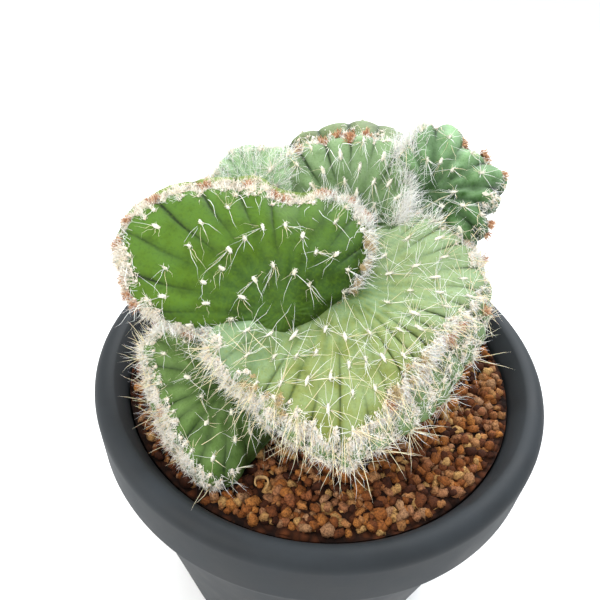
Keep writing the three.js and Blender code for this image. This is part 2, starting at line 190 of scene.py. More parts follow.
def closed_rings(first_pole, rings, last_pole):
    """Points, quads and triangles of a closed skin: a pole, rings of equal steps, and a pole."""
    count, steps = rings.shape[:2]
    points = np.concatenate([first_pole[None], rings.reshape(-1, 3), last_pole[None]])
    last = count * steps + 1
    triangles = np.concatenate([cap_faces(0, 1, steps, 1), cap_faces(last, last - steps, steps, -1)])
    return points, ring_faces(count, steps), triangles


def with_poles(values, last=0.0):
    """Values of a closed skin's points, from those of its rings, with none on the first pole."""
    return np.concatenate([[0.0], values.ravel(), [last]])


def unit(vectors):
    """Vectors at unit length."""
    return vectors / np.linalg.norm(vectors, axis=-1, keepdims=True)


def smoothstep(value, low, high):
    """Smooth rise from 0 to 1 between two values: three t squared less two t cubed."""
    t = np.clip((value - low) / (high - low), 0, 1)
    return t * t * (3 - 2 * t)


def ripple(x, y, size, seed):
    """Smooth uneven relief between about -1 and 1: a sum of sine waves of seeded headings and phases, whose
    lengths lie round the given size."""
    waves = 7
    draws = np.random.default_rng(seed)
    total = np.zeros(np.broadcast(x, y).shape)
    for _ in range(waves):
        heading, phase = draws.uniform(0, 2 * np.pi, 2)
        length = size * draws.uniform(0.6, 1.6)
        total += np.sin(2 * np.pi * (x * np.cos(heading) + y * np.sin(heading)) / length + phase)
    return total / np.sqrt(waves)


# Skin of a lobe

def around(table, column, bearing):
    """Periodic cubic through a column of a lobe's ridge table, with slopes from the neighbouring points."""
    table = np.asarray(table, float)
    keys = np.concatenate([table[-2:, 0] - 360, table[:, 0], table[:2, 0] + 360])
    values = np.concatenate([table[-2:, column], table[:, column], table[:2, column]])
    slopes = (values[2:] - values[:-2]) / (keys[2:] - keys[:-2])
    turn = np.mod(bearing, 360)
    low = np.clip(np.searchsorted(keys, turn, side="right") - 1, 1, len(keys) - 3)
    width = keys[low + 1] - keys[low]
    t = (turn - keys[low]) / width
    return ((2 * t**3 - 3 * t**2 + 1) * values[low] + (t**3 - 2 * t**2 + t) * width * slopes[low - 1]
            + (3 * t**2 - 2 * t**3) * values[low + 1] + (t**3 - t**2) * width * slopes[low])


def lobe_axes(lobe):
    """Focus and the three directions of a lobe: across, up its face, and out of its face."""
    normal = unit(np.array(lobe["face"], float))
    across = np.array([1.0, 0, 0])
    across = unit(across - normal * (across @ normal))
    focus = np.array(lobe["focus"], float) + [0, 0, RIM_Z]
    return focus, across, np.cross(normal, across), normal


def rib_phase(lobe, bearing, out):
    """Whole number on the middle of each rib; the ribs wander a little along the fan."""
    angle = np.radians(bearing)
    wander = 0.05 * ripple(2 * out * np.cos(angle), 2 * out * np.sin(angle), 1.1, lobe["ribs"] + 40)
    return np.mod(bearing * lobe["ribs"] / 360 + wander * out * (1 - out**6), lobe["ribs"])


def share_at(table, bearing):
    """Straight interpolation round a whole turn in a table of bearings and shares."""
    table = np.array(table, float)
    return np.interp(bearing, table[:, 0], table[:, 1], period=360)


def grooves(lobe, bearing, out, sharp=None):
    """How deep a place lies in a groove, from 0 to 1: a power of the sine of the way between two ribs. Each
    groove starts at its own distance from the focus, narrow on the face and wider at the ridge."""
    draws = np.random.default_rng(lobe["ribs"] + 60)
    start, depth = draws.uniform(0.3, 0.75, lobe["ribs"]), draws.uniform(0.5, 1.0, lobe["ribs"])
    phase = rib_phase(lobe, bearing, out)
    groove = np.minimum(phase.astype(int), lobe["ribs"] - 1)
    fade = smoothstep(out, start[groove], start[groove] + 0.45)
    share = depth[groove] * share_at(lobe["crease"], bearing)
    return share * fade * np.abs(np.sin(np.pi * phase)) ** (sharp or 60 - 50 * out**6)


def areole_phase(lobe, bearing, out):
    """Whole number wherever an areole lies along its rib; every second rib is shifted by half a step."""
    rib = np.round(np.mod(bearing, 360) * lobe["ribs"] / 360)
    inwards = around(lobe["rim"], 1, bearing) * (1 - out)
    return inwards / lobe["pitch"] - AREOLE_START - AREOLE_STAGGER * (rib % 2)


def mound_at(lobe, bearing, out):
    """How near a place lies to the middle of its rib, from 0 to 1: a squared cosine."""
    return np.cos(np.pi * rib_phase(lobe, bearing, out)) ** 2


def tubercle(lobe, bearing, out):
    """How near a place lies to the top of a tubercle, from 0 to 1: a product of two squared cosines, one
    across the rib and one along it."""
    row = np.cos(np.pi * areole_phase(lobe, bearing, out)) ** 2
    return mound_at(lobe, bearing, out) * row * smoothstep(out, 0.15, 0.5)


def splay_at(lobe, bearing):
    """How far the back leans out beyond the ridge for each millimetre of its bulge."""
    way, extra = lobe["lean"]
    return lobe["splay"] + extra * (0.5 + 0.5 * np.cos(np.radians(bearing - way))) ** 4


def skin(lobe, bearing, out, side):
    """Point of a lobe's skin: reach times out across the fan, lift times out squared along its face, and a
    bulge that falls off towards the ridge, with grooves, rounded ribs, tubercles and a swell on top."""
    focus, across, up, normal = lobe_axes(lobe)
    bulge = np.where(side > 0, lobe["front"], lobe["back"])
    cap = bulge * np.sqrt(np.clip(1 - out ** lobe["power"], 0, 1))
    angle = np.radians(bearing)
    reach = around(lobe["rim"], 1, bearing)
    swell = ripple(reach * out * np.cos(angle), reach * out * np.sin(angle), 22, int(lobe["ribs"]))
    share = share_at(lobe["crease"], bearing)
    relief = lobe["knob"] * tubercle(lobe, bearing, out) * (1 - out**8)
    relief = relief + 0.4 * lobe["rib"] * share * mound_at(lobe, bearing, out) * out**3
    relief = relief - 0.7 * lobe["rib"] * grooves(lobe, bearing, out) * (0.4 + 0.6 * out**2)
    relief = relief + 0.4 * swell * smoothstep(out, 0, 0.3)
    lean = np.where(side < 0, splay_at(lobe, bearing) * cap * out * out, 0)
    radius = reach * out + lean + relief * out**4
    lift = around(lobe["rim"], 2, bearing) * out * out + lobe["dome"] * (1 - out * out)
    height = lift + side * (cap + relief * (1 - out**6))
    flat = across * (radius * np.cos(angle))[..., None] + up * (radius * np.sin(angle))[..., None]
    return focus + flat + normal * height[..., None]


def skin_frame(lobe, bearing, out, side):
    """Point, outward direction, direction towards the ridge, and sideways direction at places on the skin."""
    here = skin(lobe, bearing, out, side)
    turn_on = skin(lobe, bearing + 0.6, out, side) - skin(lobe, bearing - 0.6, out, side)
    inner = skin(lobe, bearing, np.clip(out - 0.03, 0, 1), side)
    outer = skin(lobe, bearing, np.clip(out + 0.01, 0, 0.995), side)
    along = unit(outer - inner)
    normal = unit(np.cross(along, turn_on)) * np.sign(side)[..., None]
    return here, normal, along, unit(np.cross(normal, along))


def in_lobe(lobe, points, margin):
    """Whether points lie inside a lobe by more than a margin."""
    focus, across, up, normal = lobe_axes(lobe)
    offset = points - focus
    x, y, z = offset @ across, offset @ up, offset @ normal
    bearing = np.degrees(np.arctan2(y, x)) % 360
    out = np.clip(np.hypot(x, y) / (around(lobe["rim"], 1, bearing) - margin), 0, 1)
    lift = around(lobe["rim"], 2, bearing) * out * out + lobe["dome"] * (1 - out * out)
    cap = np.sqrt(np.clip(1 - out ** lobe["power"], 0, 1))
    above = z - lift < lobe["front"] * cap - margin
    return above & (z - lift > margin - lobe["back"] * cap) & (out < 1)


def in_foot(points, margin):
    """Whether points lie inside the woody foot by more than a margin."""
    radius = np.interp(points[:, 2] - RIM_Z, FOOT_PROFILE[:, 1], FOOT_PROFILE[:, 0], left=0, right=0)
    offset = (points[:, :2] - FOOT_CENTRE) / FOOT_STRETCH
    return np.hypot(offset[:, 0], offset[:, 1]) < radius - margin


def shown(points, own=None, margin=0.3):
    """Whether points lie outside every lobe but their own, outside the foot, and above the granules."""
    free = ~in_foot(points, margin) & (points[:, 2] > SOIL_Z + 0.8)
    for order, lobe in enumerate(LOBES):
        if order != own:
            free &= ~in_lobe(lobe, points, margin)
    return free


# Materials

def linear(hex_value):
    """Linear colour of an sRGB hex value."""
    channels = np.array([int(hex_value[i:i + 2], 16) for i in (1, 3, 5)]) / 255
    curved = np.where(channels <= 0.04045, channels / 12.92, ((channels + 0.055) / 1.055) ** 2.4)
    return (*curved, 1.0)


def add(tree, kind, links=(), inputs=(), **settings):
    """Add a node with its settings, its inputs' values and its links, given as input and source socket."""
    node = tree.nodes.new(kind)
    for key, value in settings.items():
        setattr(node, key, value)
    for key, value in dict(inputs).items():
        node.inputs[key].default_value = value
    for key, source in dict(links).items():
        tree.links.new(source, node.inputs[key])
    return node


def new_material(name):
    """Empty node material with its output."""
    material = bpy.data.materials.new(name)
    material.use_nodes = True
    material.node_tree.nodes.clear()
    return material, material.node_tree, add(material.node_tree, "ShaderNodeOutputMaterial")


def finish_material(tree, output, colour, roughness, bump=None, **inputs):
    """Principled shader from a colour, a roughness and an optional bump, joined to the output."""
    links = {"Base Color": colour}
    values = {key.replace("_", " "): value for key, value in inputs.items()}
    if isinstance(roughness, float):
        values["Roughness"] = roughness
    else:
        links["Roughness"] = roughness
    if bump is not None:
        links["Normal"] = bump
    shader = add(tree, "ShaderNodeBsdfPrincipled", links, values)
    tree.links.new(shader.outputs[0], output.inputs[0])


def ramp(tree, source, stops):
    """Colour ramp over a value, from positions and hex values."""
    node = add(tree, "ShaderNodeValToRGB", {"Fac": source})
    elements = node.color_ramp.elements
    while len(elements) < len(stops):
        elements.new(0.5)
    for element, (position, colour) in zip(elements, stops):
        element.position = position
        element.color = linear(colour)
    return node.outputs["Color"]


def mix(tree, factor, first, second):
    """Mix of two colours by a socket; each colour is a socket or a hex value."""
    links, inputs = {0: factor}, {}
    for key, colour in ((6, first), (7, second)):
        if isinstance(colour, str):
            inputs[key] = linear(colour)
        else:
            links[key] = colour
    return add(tree, "ShaderNodeMix", links, inputs, data_type="RGBA").outputs[2]


def grain(tree, size, detail=3.0, rough=0.5):
    """Noise on Object coordinates whose blotches are about the given size in millimetres."""
    place = add(tree, "ShaderNodeTexCoord").outputs["Object"]
    inputs = {"Scale": 1 / (size * MM), "Detail": detail, "Roughness": rough}
    return add(tree, "ShaderNodeTexNoise", {"Vector": place}, inputs).outputs["Fac"]


def value_of(tree, name):
    """A value stored on the mesh."""
    return add(tree, "ShaderNodeAttribute", attribute_name=name).outputs["Fac"]


def span(tree, source, low, high, to_low=0.0, to_high=1.0):
    """A value mapped from one span to another, clamped."""
    inputs = {"From Min": low, "From Max": high, "To Min": to_low, "To Max": to_high}
    return add(tree, "ShaderNodeMapRange", {"Value": source}, inputs).outputs["Result"]


def bumped(tree, source, strength, distance):
    """Bump from a height, with its distance in millimetres."""
    inputs = {"Strength": strength, "Distance": distance * MM}
    return add(tree, "ShaderNodeBump", {"Height": source}, inputs).outputs["Normal"]


def cactus_skin(name, groove_shade_and_spots, body, young_and_lit, bloom_and_sheen, under):
    """Waxy living epidermis: darker and duller in the grooves and the hollows between ribs, which is painted
    shade; fresher towards the growing ridge and paler on the middle of each rib, partly painted light;
    another green behind it; corky where it is old, and darker in painted shade in the valleys; a thin pale
    bloom of wax in blotches; wax bloom with painted sheen on the ridge and the tubercle tops; a painted sheen
    on what looks up; and small uneven stomata dots, drawn at 0.9 mm because real ones are too fine to show."""
    material, tree, output = new_material(name)
    youth_and_light, up_facing_sheen = value_of(tree, "youth_and_light"), value_of(tree, "up_facing_sheen")
    blotch = grain(tree, 6.0, 4.0, 0.6)
    cloud = grain(tree, 22.0, 2.0)
    dots = grain(tree, 0.9, 2.0)
    # Young skin towards the ridge, with painted light on the rib middles.
    colour = mix(tree, span(tree, youth_and_light, 0.05, 0.6, 0.0, 0.9), body, young_and_lit)
    colour = mix(tree, span(tree, cloud, 0.38, 0.62, 0.0, 0.35), colour, young_and_lit)
    colour = mix(tree, span(tree, value_of(tree, "behind"), 0.0, 1.0), colour, under)
    colour = mix(tree, span(tree, blotch, 0.4, 0.65, 0.0, 0.3), colour, bloom_and_sheen)
    # Painted sheen: paler where the skin looks up.
    colour = mix(tree, span(tree, up_facing_sheen, 0.7, 1.0, 0.0, 0.15), colour, bloom_and_sheen)
    # Wax bloom and painted sheen on the ridge and the tubercle tops.
    colour = mix(tree, span(tree, value_of(tree, "wax_and_sheen"), 0.0, 1.0, 0.0, 0.7), colour, bloom_and_sheen)
    # Corky old tissue, and painted shade in the valleys.
    colour = mix(tree, span(tree, value_of(tree, "cork_and_shade"), 0.1, 1.0, 0.0, 0.75), colour, CORK_AND_SHADE)
    # Painted shade in the grooves and the hollows between ribs.
    colour = mix(tree, span(tree, value_of(tree, "groove"), 0.03, 0.6, 0.0, 0.85), colour, groove_shade_and_spots)
    colour = mix(tree, span(tree, dots, 0.5, 0.72, 0.0, 0.4), colour, young_and_lit)
    colour = mix(tree, span(tree, blotch, 0.3, 0.46, 0.25, 0.0), colour, groove_shade_and_spots)
    colour = mix(tree, span(tree, dots, 0.3, 0.46, 0.2, 0.0), colour, groove_shade_and_spots)
    rough = span(tree, blotch, 0.3, 0.7, 0.45, 0.6)
    finish_material(tree, output, colour, rough, bumped(tree, dots, 0.35, 0.25), IOR=1.42,
                    Specular_IOR_Level=0.2, Subsurface_Weight=0.1, Subsurface_Radius=(0.8, 1.0, 0.3),
                    Subsurface_Scale=1.2 * MM)
    return material


def spine_keratin(name, root, shaft, tip):
    """Hard dry spine: horn-like, a little glossy, its colour changing from the root to the tip."""
    material, tree, output = new_material(name)
    colour = ramp(tree, value_of(tree, "along"), [(0.0, root), (0.45, shaft), (1.0, tip)])
    colour = mix(tree, span(tree, value_of(tree, "pick"), 0.0, 1.0, 0.0, 0.4), colour, tip)
    finish_material(tree, output, colour, 0.5, IOR=1.54, Specular_IOR_Level=0.35, Subsurface_Weight=0.1,
                    Subsurface_Scale=0.5 * MM)
    return material


def areole_wool(name, pale, warm):
    """Matted plant wool: dull, cream to off-white, in soft uneven clumps."""
    material, tree, output = new_material(name)
    tangle = grain(tree, 0.7, 4.0)
    colour = ramp(tree, tangle, [(0.35, warm), (0.62, pale)])
    colour = mix(tree, span(tree, value_of(tree, "pick"), 0.7, 1.0, 0.0, 0.5), colour, warm)
    finish_material(tree, output, colour, 0.95, bumped(tree, tangle, 0.6, 0.3), Specular_IOR_Level=0.15,
                    Sheen_Weight=0.3, Sheen_Roughness=0.5)
    return material


def dead_leaf(name, dark, body, pale):
    """Dried leaf tissue: papery, red-brown, paler where it is thin."""
    material, tree, output = new_material(name)
    blotch = grain(tree, 0.8, 3.0)
    colour = ramp(tree, value_of(tree, "pick"), [(0.0, dark), (0.5, body), (1.0, pale)])
    colour = mix(tree, span(tree, blotch, 0.4, 0.7, 0.0, 0.5), colour, dark)
    finish_material(tree, output, colour, 0.8, bumped(tree, blotch, 0.5, 0.2), Specular_IOR_Level=0.25)
    return material


def clay_grains(name):
    """Fired clay granules: porous and dull, each grain with its own tone of rust, orange, gold or brown."""
    material, tree, output = new_material(name)
    pores = grain(tree, 0.5, 4.0, 0.65)
    patch = grain(tree, 2.2, 3.0)
    tones = [(0.1, "#3d1c0c"), (0.28, "#784322"), (0.42, "#a6642e"), (0.55, "#c07d3e"), (0.68, "#b88c66"),
             (0.8, "#985832"), (0.92, "#d2a466")]
    colour = ramp(tree, value_of(tree, "pick"), tones)
    colour = mix(tree, span(tree, patch, 0.45, 0.75, 0.0, 0.5), colour, "#5f331d")
    colour = mix(tree, span(tree, pores, 0.35, 0.6, 0.75, 0.0), colour, "#1a0b05")
    finish_material(tree, output, colour, 0.9, bumped(tree, pores, 0.9, 0.25), Specular_IOR_Level=0.25)
    return material


def clay_bed(name):
    """The shaded fill under the top grains: the same clay, darker, with grain-sized lumps."""
    material, tree, output = new_material(name)
    place = add(tree, "ShaderNodeTexCoord").outputs["Object"]
    cells = add(tree, "ShaderNodeTexVoronoi", {"Vector": place}, {"Scale": 1 / (3.0 * MM)})
    colour = ramp(tree, cells.outputs["Color"], [(0.2, "#20100a"), (0.55, "#492818"), (0.9, "#6b3b20")])
    shade = span(tree, cells.outputs["Distance"], 0.2, 0.6, 0.0, 0.8)
    colour = mix(tree, shade, colour, "#120906")
    bump = bumped(tree, span(tree, cells.outputs["Distance"], 0.0, 0.6, 1.0, 0.0), 1.0, 1.2)
    finish_material(tree, output, colour, 0.95, bump, Specular_IOR_Level=0.2)
    return material


def pot_plastic(name):
    """Injection-moulded polypropylene, dark bluish grey: an even satin skin with a faint orange peel and a
    film of dust."""
    material, tree, output = new_material(name)
    peel = grain(tree, 1.6, 2.0)
    dust = grain(tree, 14.0, 4.0)
    colour = ramp(tree, dust, [(0.3, "#1c2023"), (0.7, "#282d31")])
    rough = span(tree, dust, 0.3, 0.7, 0.55, 0.68)
    finish_material(tree, output, colour, rough, bumped(tree, peel, 0.15, 0.15), IOR=1.49,
                    Specular_IOR_Level=0.3)
    return material


# Crest body

# Looks of each lobe's skin: how much wax bloom and painted sheen its ridge bears, how far it turns to its
# young colour, which is partly painted light and shade, and how much old corky tissue and painted shade it
# has at the ridge, each as bearing and share; how much painted sheen the tops of its tubercles bear and how
# dark the painted shade in the hollows between its ribs is; the colours of groove shade and dark spots, body,
# young and lit skin, wax bloom and sheen, and back

LOOKS = {
    "upper_left": dict(
        wax_and_sheen=[[0, 0.1], [90, 0.25], [140, 0.4], [200, 0.1]],
        # Lower towards the bottom and right of this lobe, which is painted shade.
        youth_and_light=[[0, 0.3], [60, 0.6], [100, 1], [180, 1], [210, 0.6], [250, 0.2]],
        # Painted shade in the valley at this lobe's lower right, with old corky tissue.
        cork_and_shade=[[14, 0.8], [34, 0.3], [55, 0], [200, 0], [218, 0.5], [250, 0.9], [313, 1]],
        knob_sheen=0, hollow_shade=0.04,
        colours=("#0c1705", "#0a2700", "#4f6e08", "#527838", "#79893f")),
    "front_right": dict(
        wax_and_sheen=[[0, 1], [30, 1.4], [60, 1.5], [100, 0.2], [190, 0.5], [212, 0.7], [235, 0.3], [262, 0.1],
             [320, 0.2], [340, 0.7]],
        youth_and_light=[[0, 1.2], [60, 1.3], [100, 0.2], [200, 0], [235, 0.2], [262, 1.3], [320, 1.3]],
        cork_and_shade=[[15, 0.1], [40, 0], [300, 0], [325, 0.4], [350, 0.4]],
        knob_sheen=0.1, hollow_shade=0.08,
        colours=("#1c2d08", "#245418", "#7a8028", "#a2be98", "#6b8454")),
    "lower_left": dict(
        wax_and_sheen=[[0, 0], [110, 0.5], [200, 0.4], [300, 0.1]],
        youth_and_light=[[0, 0.5], [110, 1], [250, 1], [300, 0.5]],
        cork_and_shade=[[20, 0.7], [60, 0.6], [110, 0], [290, 0], [315, 0.5]],
        knob_sheen=0.3, hollow_shade=0.2,
        colours=("#0f2208", "#142808", "#42601c", "#7a965a", "#56703e")),
    "back_middle": dict(
        wax_and_sheen=[[0, 0.1], [60, 0.8], [150, 0.8], [200, 0.1]],
        youth_and_light=[[0, 1]],
        cork_and_shade=[[0, 0.7], [25, 0.1], [165, 0.1], [200, 0.6]],
        knob_sheen=0.1, hollow_shade=0.14,
        colours=("#12280a", "#0f2e05", "#3e6014", "#a2be92", "#484714")),
    "back_left": dict(
        wax_and_sheen=[[0, 0.3]],
        youth_and_light=[[0, 1]],
        cork_and_shade=[[100, 0], [200, 0.3], [300, 0.5]],
        knob_sheen=0.3, hollow_shade=0.25,
        colours=("#446840", "#6e9462", "#8cae7c", "#c4d8bc", "#8ea878")),
    "back_right": dict(
        wax_and_sheen=[[0, 0.1], [50, 1.2], [120, 1.5], [200, 0.1]],
        youth_and_light=[[0, 1]],
        cork_and_shade=[[60, 0], [200, 0.5], [300, 0.3]],
        knob_sheen=0.15, hollow_shade=0.3,
        colours=("#061804", "#082403", "#2a520e", "#94ba88", "#42663a")),
    "link": dict(
        wax_and_sheen=[[0, 0.6]],
        youth_and_light=[[0, 1]],
        cork_and_shade=[[0, 0.3]],
        knob_sheen=0.2, hollow_shade=0.3,
        colours=("#37501a", "#6f8739", "#909f50", "#949f77", "#7e9159")),
}
FOOT_COLOURS = ("#3e3e20", "#6c6a3e", "#6e873e", "#7b7850", "#6c6a3e")
CORK_AND_SHADE = "#23280d"


def lobe_rings(face_rings, back_rings):
    """Fractions of the reach and sides of a lobe's rings, closer together towards the ridge."""
    face = np.sin(np.linspace(0, np.pi / 2, face_rings + 1)[1:]) ** 0.9
    back = np.sin(np.linspace(0, np.pi / 2, back_rings + 2)[1:-1]) ** 0.9
    return np.concatenate([face, back[::-1]]), np.concatenate([np.ones(face_rings), -np.ones(back_rings)])


def skin_piece(name, points, quads, triangles, values, material):
    """A piece of the crest's skin, with how far each point looks up kept as a value for the painted sheen on
    what faces up.
    """
    piece = make_piece(name, points, quads, triangles, values)
    looks = np.empty(3 * len(points))
    piece.data.vertex_normals.foreach_get("vector", looks)
    piece.data.attributes.new("up_facing_sheen", "FLOAT", "POINT").data.foreach_set("value", looks[2::3].copy())
    dress(piece, material, "crest")


def lobe_body(lobe, material):
    """Closed ribbed skin of one lobe. Its values are how deep a point lies in a groove or a hollow between
    two ribs, which sets painted shade there; how young its skin is, most on the middle of a rib near the
    ridge, which is partly painted light on the rib tops; how much wax bloom with painted sheen and how much
    cork with painted shade it bears; and whether it lies behind. The steps round the fan lie closer together
    near the grooves."""
    look = LOOKS[lobe["name"]]
    each = 14
    out, side = lobe_rings(38, 26)
    way = (2 * np.arange(each) + 1) / each - 1
    place = np.arange(lobe["ribs"])[:, None] + 0.5 + 0.5 * np.sign(way) * np.abs(way) ** 1.5
    turn = place.ravel() * 360 / lobe["ribs"]
    bearing, out, side = turn[None, :], out[:, None], side[:, None]
    rings = skin(lobe, bearing, out, side)
    pole = np.zeros(1)
    ends = [skin(lobe, pole, pole, np.full(1, sign))[0] for sign in (1.0, -1.0)]
    points, quads, triangles = closed_rings(ends[0], rings, ends[1])
    soft, crease = (grooves(lobe, bearing, out, sharp) for sharp in (None, 140))
    mound = mound_at(lobe, bearing, out)
    # Painted shade: darker in the grooves and in the hollows between ribs.
    depth = 0.3 * soft + 0.7 * crease + look["hollow_shade"] * (1 - mound) * out**0.5
    # Wax bloom and painted sheen: more on the tubercle tops and on the front side.
    wax_and_sheen_share = share_at(look["wax_and_sheen"], bearing) * out**1.5
    wax_and_sheen_share = (wax_and_sheen_share + look["knob_sheen"] * tubercle(lobe, bearing, out)) * (0.6 + 0.4 * side)
    # Old corky tissue and painted shade near the ridge.
    cork_and_shade_share = share_at(look["cork_and_shade"], bearing) * out**2.5
    reach = around(lobe["rim"], 1, bearing)
    # Young skin towards the ridge, raised on the rib middles as painted light.
    youth_and_light = reach * share_at(look["youth_and_light"], bearing) * out / reach.max() * (0.55 + 0.6 * mound)
    behind = np.repeat(np.where(side < 0, 1.0, 0.0), len(turn))
    values = {"groove": with_poles(depth), "youth_and_light": with_poles(youth_and_light), "wax_and_sheen": with_poles(wax_and_sheen_share),
              "cork_and_shade": with_poles(cork_and_shade_share), "behind": with_poles(behind, 1.0)}
    skin_piece("crest_" + lobe["name"], points, quads, triangles, values, material)


def foot_body(material):
    """Closed ribbed foot: the profile, evened out, turned round an upright axis and stretched to an oval, its
    ribs raised as a cosine of the bearing, with an uneven swell."""
    heights = np.interp(np.linspace(0, 1, 60), np.linspace(0, 1, len(FOOT_PROFILE)), FOOT_PROFILE[:, 1])[1:-1]
    radii = np.interp(heights, FOOT_PROFILE[:, 1], FOOT_PROFILE[:, 0])
    radii = np.convolve(np.pad(radii, 2, mode="edge"), np.ones(5) / 5, mode="valid")
    steps = 14 * FOOT_RIBS
    angle = turns(steps)
    wave = np.cos(FOOT_RIBS * angle)[None, :]
    radius = radii[:, None] * (1 + 0.03 * wave) + 0.4 * ripple(heights[:, None], 20 * angle[None, :], 12, 77)
    x = FOOT_CENTRE[0] + FOOT_STRETCH[0] * radius * np.cos(angle)
    y = FOOT_CENTRE[1] + FOOT_STRETCH[1] * radius * np.sin(angle)
    rings = np.stack([x, y, np.broadcast_to(RIM_Z + heights[:, None], x.shape)], -1)
    ends = [np.array([*FOOT_CENTRE, RIM_Z + height]) for height in FOOT_PROFILE[[0, -1], 1]]
    points, quads, triangles = closed_rings(ends[0], rings, ends[1])
    # The foot's values: younger and paler towards its top, cork and painted shade towards its base, and
    # painted shade between its ribs.
    youth_and_light = with_poles(np.repeat(smoothstep(heights, -6, 30), steps) * 0.5)
    values = {"groove": with_poles(np.repeat(0.5 - 0.5 * wave, len(heights), 0)), "youth_and_light": youth_and_light,
              "wax_and_sheen": 0.3 * youth_and_light, "cork_and_shade": 1 - 2 * youth_and_light, "behind": np.zeros(len(points))}
    skin_piece("crest_foot", points, quads, triangles, values, material)


# Areoles

def places_on(lobe, order, bearing, out, side, margin):
    """Places on a lobe's skin with their directions, without those that the foot or a neighbour covers."""
    point, normal, along, across = skin_frame(lobe, bearing, out, side)
    keep = shown(point, order, margin)
    found = dict(point=point, normal=normal, along=along, across=across, out=out, side=side, bearing=bearing)
    return {key: value[keep] for key, value in found.items()}


def directions(found, pick):
    """Directions towards the ridge, out of the skin and sideways at picked places."""
    return [found[key][pick] for key in ("along", "normal", "across")]


def areoles(lobe, order):
    """Areoles of one lobe: every rib carries one each pitch from the ridge inwards, on both sides, and ribs
    that come too close together towards the focus are passed over. Buried ones are left out."""
    rows = np.arange(int(60 / lobe["pitch"]) + 1)
    rib, row, side = [part.ravel() for part in np.meshgrid(np.arange(lobe["ribs"]), rows, [1.0, -1.0])]
    bearing = rib * 360 / lobe["ribs"]
    reach = around(lobe["rim"], 1, bearing)
    out = 1 - (row + AREOLE_START + AREOLE_STAGGER * (rib % 2)) * lobe["pitch"] / reach
    spacing = 2 * np.pi * reach * out / lobe["ribs"]
    keep = (out > 0.22) & ((spacing > 4.5) | ((rib % 2 == 0) & (spacing > 2.6)))
    bearing, out, side = bearing[keep], out[keep], side[keep]
    draws = np.random.default_rng(300 + order)
    bearing = bearing + draws.normal(0, 0.5, len(bearing))
    return places_on(lobe, order, bearing, out, side, -0.4)


def ridge_points(lobe, order, spacing, spread, seed):
    """Places strewn along a lobe's ridge, with their directions. Each one is shifted from the ridge by a
    clipped normal draw, more behind it, and lies at 1 less the square of the shift's share of the bulge over
    power, so that they spread evenly over the blunt ridge."""
    habit = WOOL_HABIT[lobe["name"]]
    draws = np.random.default_rng(seed)
    turn = np.linspace(0, 360, 721)
    ridge = skin(lobe, turn, np.full(721, 1.0), np.ones(721))
    length = np.concatenate([[0], np.cumsum(np.linalg.norm(np.diff(ridge, axis=0), axis=1))])
    count = int(length[-1] / spacing)
    bearing = np.interp(draws.uniform(0, length[-1], count), length, turn)
    bearing = bearing[draws.uniform(0, 1, count) < share_at(habit["growth"], bearing)]
    shift = spread * np.clip(draws.normal(0, 1, len(bearing)), -1.7, 1.7)
    shift = np.where(shift > 0, shift, habit["behind"] * shift)
    side = np.where(shift > 0, 1.0, -1.0)
    bulge = np.where(shift > 0, lobe["front"], lobe["back"] * np.hypot(1, splay_at(lobe, bearing)))
    out = np.clip(1 - (shift / bulge) ** 2 / lobe["power"], 0.5, 0.9995)
    return places_on(lobe, order, bearing, out, side, -0.3)


def strands(roots, headings, lengths, radius, droop, kink, steps, seed):
    """Tapered three-sided hairs. The middle line runs along the heading, sags by droop times the length times
    the square of the way, and bends aside by kink in two slow waves. Each hair is closed at its root."""
    draws = np.random.default_rng(seed)
    count = len(roots)
    way = np.linspace(0, 1, steps + 1)[None, :, None]
    lengths = np.broadcast_to(lengths, count)[:, None, None]
    helper = np.where(np.abs(headings[:, 2:3]) < 0.9, [[0, 0, 1.0]], [[1.0, 0, 0]])
    first = unit(np.cross(headings, helper))
    second = np.cross(headings, first)
    phase = draws.uniform(0, 2 * np.pi, (2, count, 1, 1))
    waves = draws.uniform(0.7, 1.5, (2, count, 1, 1))
    bend = [kink * lengths * way * np.sin(2 * np.pi * waves[i] * way + phase[i]) for i in (0, 1)]
    line = roots[:, None] + headings[:, None] * lengths * way + DOWN * droop * lengths * way**2
    line = line + first[:, None] * bend[0] + second[:, None] * bend[1]
    angle = (2 * np.pi * np.arange(3) / 3)[None, None, :, None]
    taper = (1 - way[:, :-1]) ** 0.6 * np.broadcast_to(radius, count)[:, None, None]
    offset = first[:, None, None] * np.cos(angle) + second[:, None, None] * np.sin(angle)
    rings = line[:, :-1, None] + offset * taper[..., None]
    block = 3 * steps + 1
    points = np.concatenate([rings.reshape(count, -1, 3), line[:, -1:]], 1).reshape(-1, 3)
    near = (3 * np.arange(steps - 1)[:, None] + np.arange(3)).ravel()
    step_on = (3 * np.arange(steps - 1)[:, None] + (np.arange(3) + 1) % 3).ravel()
    quads = np.stack([near, step_on, step_on + 3, near + 3], -1)
    last = 3 * (steps - 1)
    triangles = np.array([[0, 2, 1]] + [[last + i, last + (i + 1) % 3, block - 1] for i in range(3)])
    starts = (np.arange(count) * block)[:, None, None]
    along = np.concatenate([np.repeat(way[0, :-1, 0], 3), [1]])
    values = {"along": np.tile(along, count), "pick": np.repeat(draws.uniform(0, 1, count), block)}
    return points, (quads + starts).reshape(-1, 4), (triangles + starts).reshape(-1, 3), values


def joined(parts):
    """Several sets of points, quads, triangles and values as one."""
    start = np.cumsum([0] + [len(part[0]) for part in parts])
    values = {key: np.concatenate([part[3][key] for part in parts]) for key in parts[0][3]}
    return (np.concatenate([part[0] for part in parts]),
            np.concatenate([part[1] + first for part, first in zip(parts, start)]),
            np.concatenate([part[2] + first for part, first in zip(parts, start)]), values)


def grown_piece(name, parts, material):
    """One piece of many small closed bodies that grow from the crest."""
    dress(make_piece(name, *joined(parts)), material, "crest")


